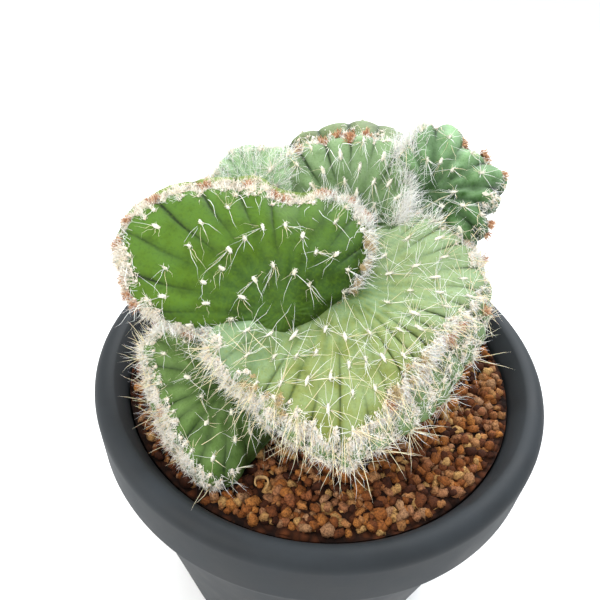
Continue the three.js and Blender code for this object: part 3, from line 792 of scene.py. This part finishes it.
# Spines of each lobe, in this order: how many an areole holds near the ridge and on the face, their length at
# the ridge and on the face, their thickness, how far they fan out from the skin's direction, how much they
# hang, sag and kink, how many hair-fine ones come with them and how long those are, how large the areole's
# woolly tuft is, and how much longer than wide

SPINE_KEYS = ("ridge", "face", "ridge_long", "face_long", "thick", "fan", "hang", "droop", "kink",
              "fine", "fine_long", "tuft", "tuft_long")
SPINE_ROWS = {
    "upper_left": (4, 3, 11, 11, 0.09, 0.6, 1.6, 0.2, 0.09, 3, 12, 0.85, 1),
    "front_right": (7, 4, 12, 13, 0.105, 1, 0.1, 0.03, 0.02, 9, 9.5, 0.7, 1.7),
    "lower_left": (6, 3, 11, 6.5, 0.11, 0.95, 0.1, 0.06, 0.03, 5, 7, 0.8, 1),
    "back_middle": (4, 3, 6.5, 9, 0.1, 0.7, 1.6, 0.2, 0.05, 9, 9, 0.85, 1.4),
    "back_left": (6, 5, 9, 9, 0.1, 0.9, 0.1, 0.1, 0.05, 26, 9, 1, 1),
    "back_right": (4, 3, 7, 8, 0.1, 0.85, 0.6, 0.2, 0.06, 8, 8, 0.8, 1),
    "link": (8, 8, 12, 11, 0.09, 0.9, 0.4, 0.25, 0.05, 14, 12, 1, 1),
}
SPINE_HABIT = {name: dict(zip(SPINE_KEYS, row)) for name, row in SPINE_ROWS.items()}


def clear_of_pot(roots, headings, lengths):
    """Turn headings upwards and inwards, a little at a time, where the tips would touch granules or rim."""
    headings = headings.copy()
    for _ in range(TURN_TRIES):
        tips = roots + headings * lengths[:, None]
        radius = np.hypot(tips[:, 0], tips[:, 1])
        low = tips[:, 2] < SOIL_Z + SPINE_CLEARANCE
        wide = ((radius > LIP_RADIUS - 2) & (tips[:, 2] < RIM_Z + 2)) | (radius > RIM_RADIUS - 0.5)
        touching = (low | wide)[:, None]
        inwards = np.concatenate([-roots[:, :2], np.zeros((len(roots), 1))], 1) * 0.004
        headings = np.where(touching, unit(headings + inwards + [0, 0, 0.2]), headings)
    return headings


def leaning(found, pick, turn, lean, hang):
    """Headings that lean from the skin's outward direction towards a turn round it and hang along the skin,
    and the direction of that turn."""
    along, normal, across = directions(found, pick)
    flat = along * np.cos(turn)[:, None] + across * np.sin(turn)[:, None]
    hanging = hang * (DOWN - normal * (normal @ DOWN)[:, None])
    return normal * np.cos(lean)[:, None] + flat * np.sin(lean)[:, None] + hanging, flat


def areole_spines(found, habit, seed):
    """Spines of a lobe's areoles: a fan of straight or hanging needles out of each one."""
    draws = np.random.default_rng(seed)
    near = smoothstep(found["out"], 0.72, 0.95)
    number = habit["face"] + (habit["ridge"] - habit["face"]) * near
    number = np.round(number * draws.uniform(0.4, 1.5, len(near))).astype(int)
    pick = np.repeat(np.arange(len(number)), number)
    turn = draws.uniform(0, 2 * np.pi, len(pick))
    lean = habit["fan"] * draws.uniform(0.35, 1.0, len(pick)) * np.pi / 2
    heading, flat = leaning(found, pick, turn, lean, habit["hang"])
    sway = draws.normal(0, 0.45, (len(near), 3))[pick]
    heading = unit(heading + sway + found["along"][pick] * (0.2 + 0.4 * near[pick])[:, None])
    longest = habit["face_long"] + (habit["ridge_long"] - habit["face_long"]) * near[pick]
    length = longest * draws.uniform(0.3, 1.3, len(pick))
    root = found["point"][pick] - found["normal"][pick] * 0.5 + flat * draws.uniform(0, 0.5, (len(pick), 1))
    heading = clear_of_pot(root, heading, length)
    radius = habit["thick"] * draws.uniform(0.6, 1.0, len(pick)) * (0.9 + 0.3 * near[pick])
    return strands(root, heading, length, radius, habit["droop"], habit["kink"], 4, seed + 1)


# Wool along each lobe's ridge, in this order: tufts for each millimetre, how many hairs a tuft has, their
# length, how far the tufts spread from the ridge, how much wider they spread behind it, fringe hairs for each
# millimetre and their length, spines for each millimetre, and how much grows at which bearing

WOOL_KEYS = ("tufts", "hairs", "long", "spread", "behind", "fringe", "fringe_long", "spines", "growth")
WOOL_ROWS = {
    "upper_left": (2.6, 26, 2.6, 2.8, 1, 9, 5, 1.3, [[12, 0], [25, 1], [100, 1], [125, 0.9], [205, 1],
                   [220, 0]]),
    "front_right": (3.1, 24, 2.2, 2.6, 2.6, 11, 5.5, 2.6, [[14, 0.6], [40, 0.8], [62, 0.7], [75, 0],
                    [190, 0], [203, 1], [270, 1], [280, 0.9], [322, 1], [338, 0.8]]),
    "lower_left": (3.3, 26, 2.2, 3.2, 1.6, 11, 6, 2.4, [[90, 0], [112, 1], [265, 1], [290, 0]]),
    "back_middle": (1.2, 20, 2, 2, 1.5, 6, 4, 0.7, [[12, 0], [30, 1], [160, 1], [180, 0]]),
    "back_left": (0.8, 12, 2.4, 4, 1.5, 9, 5, 1, [[0, 1]]),
    "back_right": (0.6, 10, 2.4, 2.5, 1.5, 4, 4, 1, [[0, 1]]),
    "link": (1.4, 18, 4, 6, 1, 9, 8, 2, [[0, 1]]),
}
WOOL_HABIT = {name: dict(zip(WOOL_KEYS, row)) for name, row in WOOL_ROWS.items()}


def ridge_tufts(lobe, order):
    """Woolly tufts of the crowded areoles on a growing ridge: a small cushion each, and a burst of hairs."""
    habit = WOOL_HABIT[lobe["name"]]
    found = ridge_points(lobe, order, 1 / habit["tufts"], habit["spread"], 500 + order)
    draws = np.random.default_rng(520 + order)
    pick = np.repeat(np.arange(len(found["point"])), habit["hairs"])
    count = len(pick)
    spot = draws.normal(0, 0.45, (count, 2))
    along, normal, across = directions(found, pick)
    root = found["point"][pick] + along * spot[:, :1] + across * spot[:, 1:] - 0.2 * normal
    heading = unit(along * 0.6 + normal * 0.5 + draws.normal(0, 0.7, (count, 3)))
    length = habit["long"] * draws.uniform(0.3, 1.3, count)
    heading = clear_of_pot(root, heading, length)
    return (tuft_cushions(found, 560 + order, (0.42, 0.42, 0.2)),
            strands(root, heading, length, radius=0.12, droop=0.06, kink=0.12, steps=2, seed=540 + order))


# Dead matted wool: the lobe, the bearing on its ridge, and how many millimetres it is wide

CLUMPS = [("front_right", 300, 2.2), ("front_right", 317, 1.9), ("front_right", 308, 1.5),
          ("front_right", 252, 1.7), ("front_right", 240, 1.4), ("upper_left", 31, 1.9),
          ("upper_left", 39, 1.5), ("upper_left", 47, 2.0), ("upper_left", 20, 1.4),
          ("upper_left", 4, 1.6), ("upper_left", 345, 1.4)]
CLUMP_CUSHIONS = 4


def lobe_order(name):
    """Number of a lobe in the table."""
    return [lobe["name"] for lobe in LOBES].index(name)


def clumps():
    """Tan mats of dead wool, each a few large cushions with a tangle of hairs."""
    parts = []
    for number, (name, bearing, size) in enumerate(CLUMPS):
        draws = np.random.default_rng(660 + number)
        turn = bearing + draws.normal(0, 2.5, CLUMP_CUSHIONS)
        out = np.clip(1 - np.abs(draws.normal(0.03, 0.04, CLUMP_CUSHIONS)), 0.5, 0.995)
        point, normal, along, across = skin_frame(LOBES[lobe_order(name)], turn, out, np.ones(CLUMP_CUSHIONS))
        found = dict(point=point, normal=normal, along=along, across=across)
        parts.append(tuft_cushions(found, 670 + number, (0.22 * size, 0.22 * size, 0.2 * size)))
        hairs = int(90 * size)
        pick = draws.integers(0, CLUMP_CUSHIONS, hairs)
        root = point[pick] + draws.normal(0, 0.16 * size, (hairs, 3)) + 0.1 * size * normal[pick]
        heading = unit(normal[pick] + draws.normal(0, 1.0, (hairs, 3)))
        length = size * draws.uniform(0.4, 1.5, hairs)
        parts.append(strands(root, heading, length, radius=0.11, droop=0.1, kink=0.3, steps=4,
                             seed=680 + number))
    return parts


def ridge_spines(lobe, order, habit):
    """Long spines all along a ridge. Most stand out straight, and on a lobe with hanging spines some are
    rooted on the shoulder of its face and fall over it."""
    found = ridge_points(lobe, order, 1 / WOOL_HABIT[lobe["name"]]["spines"], 3.0, 600 + order)
    draws = np.random.default_rng(620 + order)
    count = len(found["point"])
    fallen = (found["side"] > 0) & (draws.uniform(0, 1, count) < 0.45 * habit["hang"])
    out = np.where(fallen, draws.uniform(0.9, 0.97, count), found["out"])
    point, normal, along, _ = skin_frame(lobe, found["bearing"], out, found["side"])
    over = 1.3 * unit(np.array(lobe["face"], float)) + DOWN
    heading = np.where(fallen[:, None], over, 1.2 * along + 0.35 * normal)
    heading = unit(heading + draws.normal(0, 0.4, (count, 3)))
    length = habit["ridge_long"] * draws.uniform(0.35, 1.2, count)
    root = point - normal * 0.3
    heading = clear_of_pot(root, heading, length)
    radius = habit["thick"] * draws.uniform(0.9, 1.5, count)
    return strands(root, heading, length, radius, habit["droop"], habit["kink"], 4, 640 + order)


# Long white wool: lobe, range of bearings, how far it reaches inwards as a share of the reach, hairs, and
# their length

LONG_WOOL = [("front_right", (36, 74), 0.05, 900, 8.0), ("back_middle", (345, 432), 0.14, 1900, 9.5),
             ("back_right", (98, 250), 0.16, 1500, 9.0), ("upper_left", (26, 80), 0.06, 800, 7.0),
             ("back_left", (0, 360), 0.45, 1900, 6.5), ("link", (0, 360), 0.3, 1200, 8.0),
             ("upper_left", (192, 224), 0.06, 420, 5.0), ("lower_left", (98, 150), 0.07, 420, 5.5),
             ("front_right", (190, 214), 0.04, 420, 5.5), ("front_right", (292, 348), 0.05, 700, 5.0)]


def long_wool():
    """Tangles of long soft white wool that rise from parts of the ridges and lie over their neighbours."""
    parts = []
    for number, (name, (start, end), depth, count, longest) in enumerate(LONG_WOOL):
        order = lobe_order(name)
        draws = np.random.default_rng(1100 + number)
        bearing = draws.uniform(start, end, count)
        out = np.clip(1 - np.abs(draws.normal(0, depth, count)), 0.2, 0.995)
        side = np.where(draws.uniform(0, 1, count) < 0.6, 1.0, -1.0)
        point, normal, along, _ = skin_frame(LOBES[order], bearing, out, side)
        heading = unit(0.6 * along + 0.4 * normal - 0.5 * DOWN + draws.normal(0, 0.5, (count, 3)))
        length = longest * draws.uniform(0.3, 1.2, count)
        keep = shown(point, order, -0.3)
        parts.append(strands(point[keep] - 0.3 * normal[keep], heading[keep], length[keep], radius=0.085,
                             droop=0.15, kink=0.07, steps=3, seed=1120 + number))
    return parts


def ridge_fringe(lobe, order):
    """Fine straight hairs that stand out from a woolly ridge to both sides."""
    habit = WOOL_HABIT[lobe["name"]]
    found = ridge_points(lobe, order, 1 / habit["fringe"], habit["spread"], 580 + order)
    draws = np.random.default_rng(590 + order)
    count = len(found["point"])
    heading = unit(found["along"] + 0.35 * found["normal"] + draws.normal(0, 0.4, (count, 3)) + 0.25 * DOWN)
    length = habit["fringe_long"] * draws.uniform(0.3, 1.2, count)
    root = found["point"] - 0.2 * found["normal"]
    heading = clear_of_pot(root, heading, length)
    return strands(root, heading, length, radius=0.08, droop=0.06, kink=0.04, steps=3, seed=594 + order)


def fine_hairs(found, habit, seed):
    """Hair-fine white spines among the stronger ones of each areole, spread flat over the skin."""
    draws = np.random.default_rng(seed)
    number = np.round(habit["fine"] * draws.uniform(0.3, 1.4, len(found["point"]))).astype(int)
    pick = np.repeat(np.arange(len(number)), number)
    turn = draws.uniform(0, 2 * np.pi, len(pick))
    lean = draws.uniform(0.6, 1.45, len(pick))
    heading, flat = leaning(found, pick, turn, lean, 1.2 * habit["hang"])
    length = habit["fine_long"] * draws.uniform(0.25, 1.3, len(pick))
    root = found["point"][pick] - found["normal"][pick] * 0.3 + flat * draws.uniform(0, 0.4, (len(pick), 1))
    heading = clear_of_pot(root, unit(heading), length)
    return strands(root, heading, length, radius=0.08, droop=0.5 * habit["droop"], kink=0.05, steps=3,
                   seed=seed + 1)


def tuft_cushions(found, seed, size, spread=0.25):
    """Oval cushion of wool at each place: a ball of rings stretched along the rib, its surface uneven."""
    draws = np.random.default_rng(seed)
    count = len(found["point"])
    polar = np.linspace(0, np.pi, 6)[1:-1]
    angle = turns(8)
    across = np.sin(polar)[:, None] * np.cos(angle)
    along = np.sin(polar)[:, None] * np.sin(angle)
    up = np.repeat(-np.cos(polar)[:, None], 8, 1)
    ball = np.concatenate([[[0, 0, -1]], np.stack([across, along, up], -1).reshape(-1, 3), [[0, 0, 1]]])
    size = draws.uniform(1 - spread, 1 + 2 * spread, (count, 1, 1)) * np.array(size)
    shape = ball[None] * size * (1 + 0.22 * draws.normal(0, 1, (count, len(ball), 1)))
    points = (found["point"][:, None] + found["across"][:, None] * shape[..., :1]
              + found["along"][:, None] * shape[..., 1:2]
              + found["normal"][:, None] * (shape[..., 2:] + 0.15))
    starts = (np.arange(count) * len(ball))[:, None, None]
    quads = ring_faces(4, 8)[None] + starts
    last = len(ball) - 1
    triangles = np.concatenate([cap_faces(0, 1, 8, 1), cap_faces(last, last - 8, 8, -1)])[None] + starts
    pick = np.repeat(draws.uniform(0, 1, count), len(ball))
    values = {"along": np.zeros(count * len(ball)), "pick": pick}
    return points.reshape(-1, 3), quads.reshape(-1, 4), triangles.reshape(-1, 3), values


def tuft_hairs(found, number, size, stretch, seed):
    """Short hairs that make each areole's cushion look woolly."""
    draws = np.random.default_rng(seed)
    pick = np.repeat(np.arange(len(found["point"])), number)
    heading = unit(found["normal"][pick] + draws.normal(0, 0.8, (len(pick), 3)))
    length = size * draws.uniform(0.7, 1.8, len(pick))
    spot = size * draws.normal(0, (0.6 * stretch, 0.3), (len(pick), 2))
    root = found["point"][pick] + found["along"][pick] * spot[:, :1] + found["across"][pick] * spot[:, 1:]
    return strands(root, heading, length, radius=0.1, droop=0.05, kink=0.12, steps=2, seed=seed + 1)


# Dead leaves on the ridges: clusters to the centimetre, and the bearings of more clusters

LEAF_CLUSTERS = {"upper_left": 0.6, "front_right": 0.4, "back_middle": 1.6, "back_right": 0.8,
                 "lower_left": 0.3, "back_left": 0.4, "link": 0.3}
LEAF_SPOTS = {"upper_left": (60, 68, 82, 98, 103, 113, 129, 147, 156, 164, 176, 183, 196),
              "back_middle": (58, 88, 104, 112)}


def leaf_tips(lobe, order):
    """Small curled dead leaves in round clusters on a ridge: short thick tapered strands that burst from a
    spot, with a cushion of crumbs at its middle."""
    found = ridge_points(lobe, order, 10 / LEAF_CLUSTERS[lobe["name"]], 1.5, 700 + order)
    spots = np.array(LEAF_SPOTS.get(lobe["name"], ()), float)
    frames = skin_frame(lobe, spots, np.full(len(spots), 0.997), np.ones(len(spots)))
    found = {key: np.concatenate([found[key], part])
             for key, part in zip(("point", "normal", "along", "across"), frames)}
    draws = np.random.default_rng(720 + order)
    pick = np.repeat(np.arange(len(found["point"])), draws.integers(24, 70, len(found["point"])))
    count = len(pick)
    along, normal, across = directions(found, pick)
    heading = unit(along * 0.5 + normal * 1.2 + draws.normal(0, 0.6, (count, 3)))
    length = draws.uniform(1.2, 3.4, count)
    shift = draws.normal(0, 0.6, (count, 2))
    root = found["point"][pick] + across * shift[:, :1] + along * shift[:, 1:] + normal * 0.3
    heading = clear_of_pot(root, heading, length)
    return (tuft_cushions(found, 760 + order, (0.3, 0.3, 0.35), 0.3),
            strands(root, heading, length, draws.uniform(0.13, 0.24, count), droop=0.1, kink=0.2, steps=3,
                    seed=740 + order))


# Granules: the two layers by name, step of their lattice, size, height over the soil and seed

GRANULE_LAYERS = [("granules_low", 2.5, 1.4, -0.1, 31), ("granules_top", 3.5, 1.4, 1.0, 32)]


def gravel_places(spacing, seed):
    """Centres of grains on the soil: a triangular lattice, each point shaken by a seeded draw."""
    draws = np.random.default_rng(seed)
    count = int(LIP_RADIUS / spacing) + 2
    column, row = np.meshgrid(np.arange(-count, count + 1), np.arange(-count, count + 1))
    x = (column + 0.5 * (row % 2)).ravel() * spacing
    y = row.ravel() * spacing * LATTICE_ROW
    shake = draws.normal(0, 0.22 * spacing, (2, len(x)))
    places = np.stack([x + shake[0], y + shake[1], np.zeros(len(x))], -1)
    return places[np.hypot(places[:, 0], places[:, 1]) < LIP_RADIUS - GRAIN_CLEARANCE]


def gravel(name, places, size, height, seed, material):
    """Broken grains: a rounded cube of three by three points a face, stretched, pushed in and out and turned
    at random."""
    draws = np.random.default_rng(seed)
    grid = np.stack(np.meshgrid([-1, 0, 1], [-1, 0, 1], [-1, 0, 1], indexing="ij"), -1).reshape(-1, 3)
    shell = grid[np.abs(grid).max(1) == 1].astype(float)
    index = {tuple(point): number for number, point in enumerate(shell.astype(int))}
    quads = []
    for axis in range(3):
        for sign in (-1, 1):
            first, second = [(axis + 1) % 3, (axis + 2) % 3][::sign]
            for i, j in ((-1, -1), (0, -1), (0, 0), (-1, 0)):
                quad = []
                for a, b in ((i, j), (i + 1, j), (i + 1, j + 1), (i, j + 1)):
                    corner = [0, 0, 0]
                    corner[axis], corner[first], corner[second] = sign, a, b
                    quad.append(index[tuple(corner)])
                quads.append(quad)
    ball = shell / np.linalg.norm(shell, axis=1, keepdims=True) ** 0.72
    count = len(places)
    turn = unit(draws.normal(0, 1, (count, 4)))
    w, x, y, z = turn.T
    matrix = np.stack([1 - 2 * (y * y + z * z), 2 * (x * y - z * w), 2 * (x * z + y * w),
                       2 * (x * y + z * w), 1 - 2 * (x * x + z * z), 2 * (y * z - x * w),
                       2 * (x * z - y * w), 2 * (y * z + x * w), 1 - 2 * (x * x + y * y)], -1)
    radius = size * draws.uniform(0.7, 1.25, (count, 1, 1))
    radius = radius * draws.uniform(0.65, 1.25, (count, 1, 3))
    shape = ball[None] * radius * (1 + 0.15 * draws.normal(0, 1, (count, len(ball), 1)))
    points = np.einsum("nij,nkj->nki", matrix.reshape(-1, 3, 3), shape) + places[:, None]
    points[..., 2] += SOIL_Z + height + 0.4 * draws.normal(0, 1, (count, 1))
    all_quads = np.array(quads)[None] + (np.arange(count) * len(ball))[:, None, None]
    pick = np.repeat(draws.uniform(0, 1, count), len(ball))
    piece = make_piece(name, points.reshape(-1, 3), all_quads.reshape(-1, 4), values={"pick": pick})
    dress(piece, material)


# Pot

COLLAR_Z = POT_HEIGHT - COLLAR_HEIGHT


def wall_radius(height):
    """Outer radius of the wall below the collar: a straight taper."""
    return BASE_RADIUS + (RIM_RADIUS - COLLAR_STEP - BASE_RADIUS) * height / COLLAR_Z


def rounded(outline, radius):
    """Open outline with its inner corners rounded: each corner becomes a short curve between two points cut
    from its sides."""
    outline = np.asarray(outline, float)
    result = [outline[0]]
    for before, corner, after in zip(outline[:-2], outline[1:-1], outline[2:]):
        reach = min(radius, 0.45 * np.linalg.norm(before - corner), 0.45 * np.linalg.norm(after - corner))
        start, end = corner + reach * unit(before - corner), corner + reach * unit(after - corner)
        for t in np.linspace(0, 1, 5):
            result.append((1 - t) ** 2 * start + 2 * t * (1 - t) * corner + t * t * end)
    return np.array(result + [outline[-1]])


def pot_shell(material):
    """The moulded pot: its profile turned round the axis, then drilled with the drainage holes."""
    arc = np.linspace(0, np.radians(LIP_TURN), 16)
    rim = np.array([RIM_RADIUS, POT_HEIGHT]) - LIP_ROUND * (1 - np.stack([np.cos(arc), np.sin(arc)], -1))
    below = rounded([[0, 0], [BASE_RADIUS - 0.6, 0], [BASE_RADIUS + 0.1, 1.2],
                     [wall_radius(COLLAR_Z), COLLAR_Z - 0.6], [RIM_RADIUS - 1, COLLAR_Z],
                     [RIM_RADIUS, COLLAR_Z + 3], [RIM_RADIUS, POT_HEIGHT - LIP_ROUND]], 0.8)
    inside = rounded([rim[-1], [LIP_RADIUS, SOIL_Z + 0.5], [LIP_RADIUS - 0.5, COLLAR_Z],
                      [wall_radius(WALL) - WALL, WALL], [0, WALL]], 1.5)
    profile = np.concatenate([below[:-1], rim, inside[1:]])[1:-1]
    steps = 192
    angle = turns(steps)
    rings = np.stack([profile[:, :1] * np.cos(angle), profile[:, :1] * np.sin(angle),
                      np.broadcast_to(profile[:, 1:], (len(profile), steps))], -1)
    shell = make_piece("pot_shell", *closed_rings(np.zeros(3), rings, np.array([0, 0, WALL])))
    angles = 2 * np.pi * (np.arange(DRAIN_HOLES) + 0.5) / DRAIN_HOLES
    circle = turns(32)
    parts = []
    low, high = -WALL, 2 * WALL
    for x, y in DRAIN_CIRCLE * np.stack([np.cos(angles), np.sin(angles)], -1):
        round_hole = [x + DRAIN_RADIUS * np.cos(circle), y + DRAIN_RADIUS * np.sin(circle)]
        drill = np.stack([np.stack([*round_hole, np.full(32, z)], -1) for z in (low, high)])
        parts.append((*closed_rings(np.array([x, y, low]), drill, np.array([x, y, high])), {}))
    drills = make_piece("drills", *joined(parts)[:3], smooth=False)
    cut = shell.modifiers.new("drainage", "BOOLEAN")
    cut.operation = "DIFFERENCE"
    cut.solver = "EXACT"
    cut.object = drills
    solid = bpy.data.meshes.new_from_object(shell.evaluated_get(bpy.context.evaluated_depsgraph_get()))
    shell.modifiers.clear()
    shell.data = solid
    bpy.data.objects.remove(drills)
    solid.materials.clear()
    dress(shell, material, "pot")


# Dry husk

def curled_husk(material):
    """A curled husk: a flat oval section carried along an open circle that tightens, its ends tapering."""
    way = np.linspace(0, 1, 40)
    angle = np.radians(-40 + 270 * way)
    radius = HUSK_RADIUS * (1 - 0.36 * way)
    centre = np.stack([radius * np.cos(angle), radius * np.sin(angle), 0.3 * np.sin(3 * angle)], -1)
    outwards = np.stack([np.cos(angle), np.sin(angle), np.zeros(40)], -1)
    turn = turns(12)
    swell = 0.25 + 0.75 * np.sin(np.pi * np.clip(way * 0.96 + 0.02, 0, 1)) ** 0.5
    rings = (centre[:, None] + outwards[:, None] * (0.34 * np.cos(turn))[None, :, None] * swell[:, None, None]
             + np.array([0, 0, 0.72]) * np.sin(turn)[None, :, None] * swell[:, None, None])
    shift = np.array([*HUSK_PLACE, SOIL_Z + 1.9])
    points, quads, triangles = closed_rings(centre[0] + shift, rings + shift, centre[-1] + shift)
    piece = make_piece("curled_husk", points, quads, triangles, {"pick": np.full(len(points), 0.9)})
    dress(piece, material, "dry_husk")


# Assembly

cream_spines = spine_keratin("spine keratin, cream", "#dccb9a", "#efe0b6", "#f6ecd0")
white_hairs = spine_keratin("spine keratin, white and hair-fine", "#f3f1e4", "#fbfaf2", "#ffffff")
white_wool = areole_wool("areole wool, white", "#fffefa", "#f9efdc")
cream_wool = areole_wool("areole wool, cream", "#fbf7ea", "#eee0cc")
pale_wool = areole_wool("areole wool, off-white", "#f3f1e4", "#ddd8c2")
dead_leaves = dead_leaf("dead leaf tissue, red-brown", "#a06a48", "#cf9c74", "#efd2b0")
husk_paper = dead_leaf("dead leaf tissue, straw", "#7b5530", "#ac824f", "#c8a674")

# Each lobe's skin and growth. Where the spines hang, those of the ridge are as white as the fine ones.

spine_parts, fine_parts, cushion_parts, mat_parts, hair_parts, tip_parts = ([] for _ in range(6))
for order, lobe in enumerate(LOBES):
    habit = SPINE_HABIT[lobe["name"]]
    skin_name = "cactus epidermis, " + lobe["name"].replace("_", " ")
    lobe_body(lobe, cactus_skin(skin_name, *LOOKS[lobe["name"]]["colours"]))
    found = areoles(lobe, order)
    spine_parts.append(areole_spines(found, habit, 800 + 10 * order))
    (fine_parts if habit["hang"] > 1 else spine_parts).append(ridge_spines(lobe, order, habit))
    size = habit["tuft"] * np.array([0.5, habit["tuft_long"], 0.35])
    cushion_parts.append(tuft_cushions(found, 900 + order, size))
    hair_parts.append(tuft_hairs(found, 26, habit["tuft"], habit["tuft_long"], 920 + 10 * order))
    fine_parts.append(fine_hairs(found, habit, 960 + 10 * order))
    fine_parts.append(ridge_fringe(lobe, order))
    tufts, wool = ridge_tufts(lobe, order)
    mat_parts.append(tufts)
    grown_piece("ridge_wool_" + lobe["name"], [wool], cream_wool if order == 0 else white_wool)
    tip_parts.extend(leaf_tips(lobe, order))
foot_body(cactus_skin("cactus epidermis, foot", *FOOT_COLOURS))
grown_piece("spines", spine_parts, cream_spines)
grown_piece("fine_hairs", fine_parts, white_hairs)
grown_piece("long_wool", long_wool(), white_hairs)
grown_piece("areole_cushions", cushion_parts, pale_wool)
grown_piece("ridge_mats", mat_parts, areole_wool("areole wool, matted", "#f4ede0", "#d4bfa4"))
grown_piece("areole_hairs", hair_parts, pale_wool)
grown_piece("dead_wool", clumps(), areole_wool("areole wool, dead and tan", "#e2d0a0", "#b8985f"))
grown_piece("dead_leaf_tips", tip_parts, dead_leaves)

grain_clay = clay_grains("fired clay granules")
for name, spacing, size, height, seed in GRANULE_LAYERS:
    places = gravel_places(spacing, seed)
    at_top = places + [0, 0, SOIL_Z]
    buried = in_foot(at_top + [0, 0, 1.0], margin=-1.2)
    for lobe in LOBES:
        buried |= in_lobe(lobe, at_top + [0, 0, 1.5], margin=-1.0)
    if height > 0:
        buried |= np.linalg.norm(places[:, :2] - HUSK_PLACE, axis=1) < HUSK_CLEARANCE
    gravel(name, places[~buried], size, height, seed, grain_clay)
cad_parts["soil"].data.materials.clear()
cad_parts["soil"].data.materials.append(clay_bed("fired clay fill"))

pot_shell(pot_plastic("polypropylene, dark grey"))
curled_husk(husk_paper)


# Floor, lights and camera. The lights face the crest at this height in metres.

CREST_MIDDLE = 0.14


def stand(thing, right, up, back, place):
    """Put a camera or light into the scene at a place in metres, turned to three directions."""
    matrix = np.eye(4)
    matrix[:3] = np.stack([right, up, back, place], -1)
    thing.matrix_world = Matrix(matrix.tolist())
    bpy.context.scene.collection.objects.link(thing)


def camera_at(place, yaw, pitch, roll, focal):
    """Camera at a place in millimetres that looks along a yaw from +Y, down by a pitch, turned by a roll."""
    yaw, pitch, roll = np.radians([yaw, pitch, roll])
    ahead = np.array([np.sin(yaw) * np.cos(pitch), np.cos(yaw) * np.cos(pitch), -np.sin(pitch)])
    level = np.array([np.cos(yaw), -np.sin(yaw), 0])
    upright = np.cross(level, ahead)
    right = level * np.cos(roll) + upright * np.sin(roll)
    up = upright * np.cos(roll) - level * np.sin(roll)
    camera = bpy.data.objects.new("camera", bpy.data.cameras.new("camera"))
    camera.data.lens = focal
    camera.data.clip_start = 0.01
    stand(camera, right, up, -ahead, np.array(place) * MM)
    bpy.context.scene.camera = camera


def soft_light(name, place, size, power, colour):
    """Square area light at a place in metres that faces the crest."""
    data = bpy.data.lights.new(name, "AREA")
    data.size = size
    data.energy = power
    data.color = linear(colour)[:3]
    light = bpy.data.objects.new(name, data)
    ahead = unit(np.array([0, 0, CREST_MIDDLE]) - place)
    right = unit(np.cross(ahead, -DOWN))
    stand(light, right, np.cross(right, ahead), -ahead, place)


def pale_floor():
    """Level pale floor that the pot stands on."""
    corners = 1000 * np.array([[-2, -2, 0], [2, -2, 0], [2, 2, 0], [-2, 2, 0]], float)
    floor = make_piece("floor", corners, [[0, 1, 2, 3]], smooth=False)
    material, tree, output = new_material("matt white paper")
    fibre = grain(tree, 30.0)
    finish_material(tree, output, ramp(tree, fibre, [(0.3, "#f3f4f4"), (0.7, "#f8f8f7")]), 0.9)
    floor.data.materials.append(material)


def white_room():
    """Even pale light from all round."""
    world = bpy.data.worlds.new("white room")
    world.use_nodes = True
    tree = world.node_tree
    tree.nodes.clear()
    ground = add(tree, "ShaderNodeBackground", (), {"Color": linear("#f6f9fd"), "Strength": 1.15})
    add(tree, "ShaderNodeOutputWorld", {"Surface": ground.outputs[0]})
    bpy.context.scene.world = world


camera_at((0.0, -137.5, POT_HEIGHT + 136.3), yaw=-3.5, pitch=40.0, roll=3.9, focal=33.6)
soft_light("window", (0.18, 0.42, 0.62), size=0.55, power=5.0, colour="#f6faff")
soft_light("backlight", (0.05, 0.75, 0.42), size=0.9, power=4.6, colour="#fbfdff")
soft_light("fill", (-0.45, -0.35, 0.6), size=0.8, power=4.7, colour="#fffaf2")
pale_floor()
white_room()
bpy.context.scene.view_settings.view_transform = "Standard"
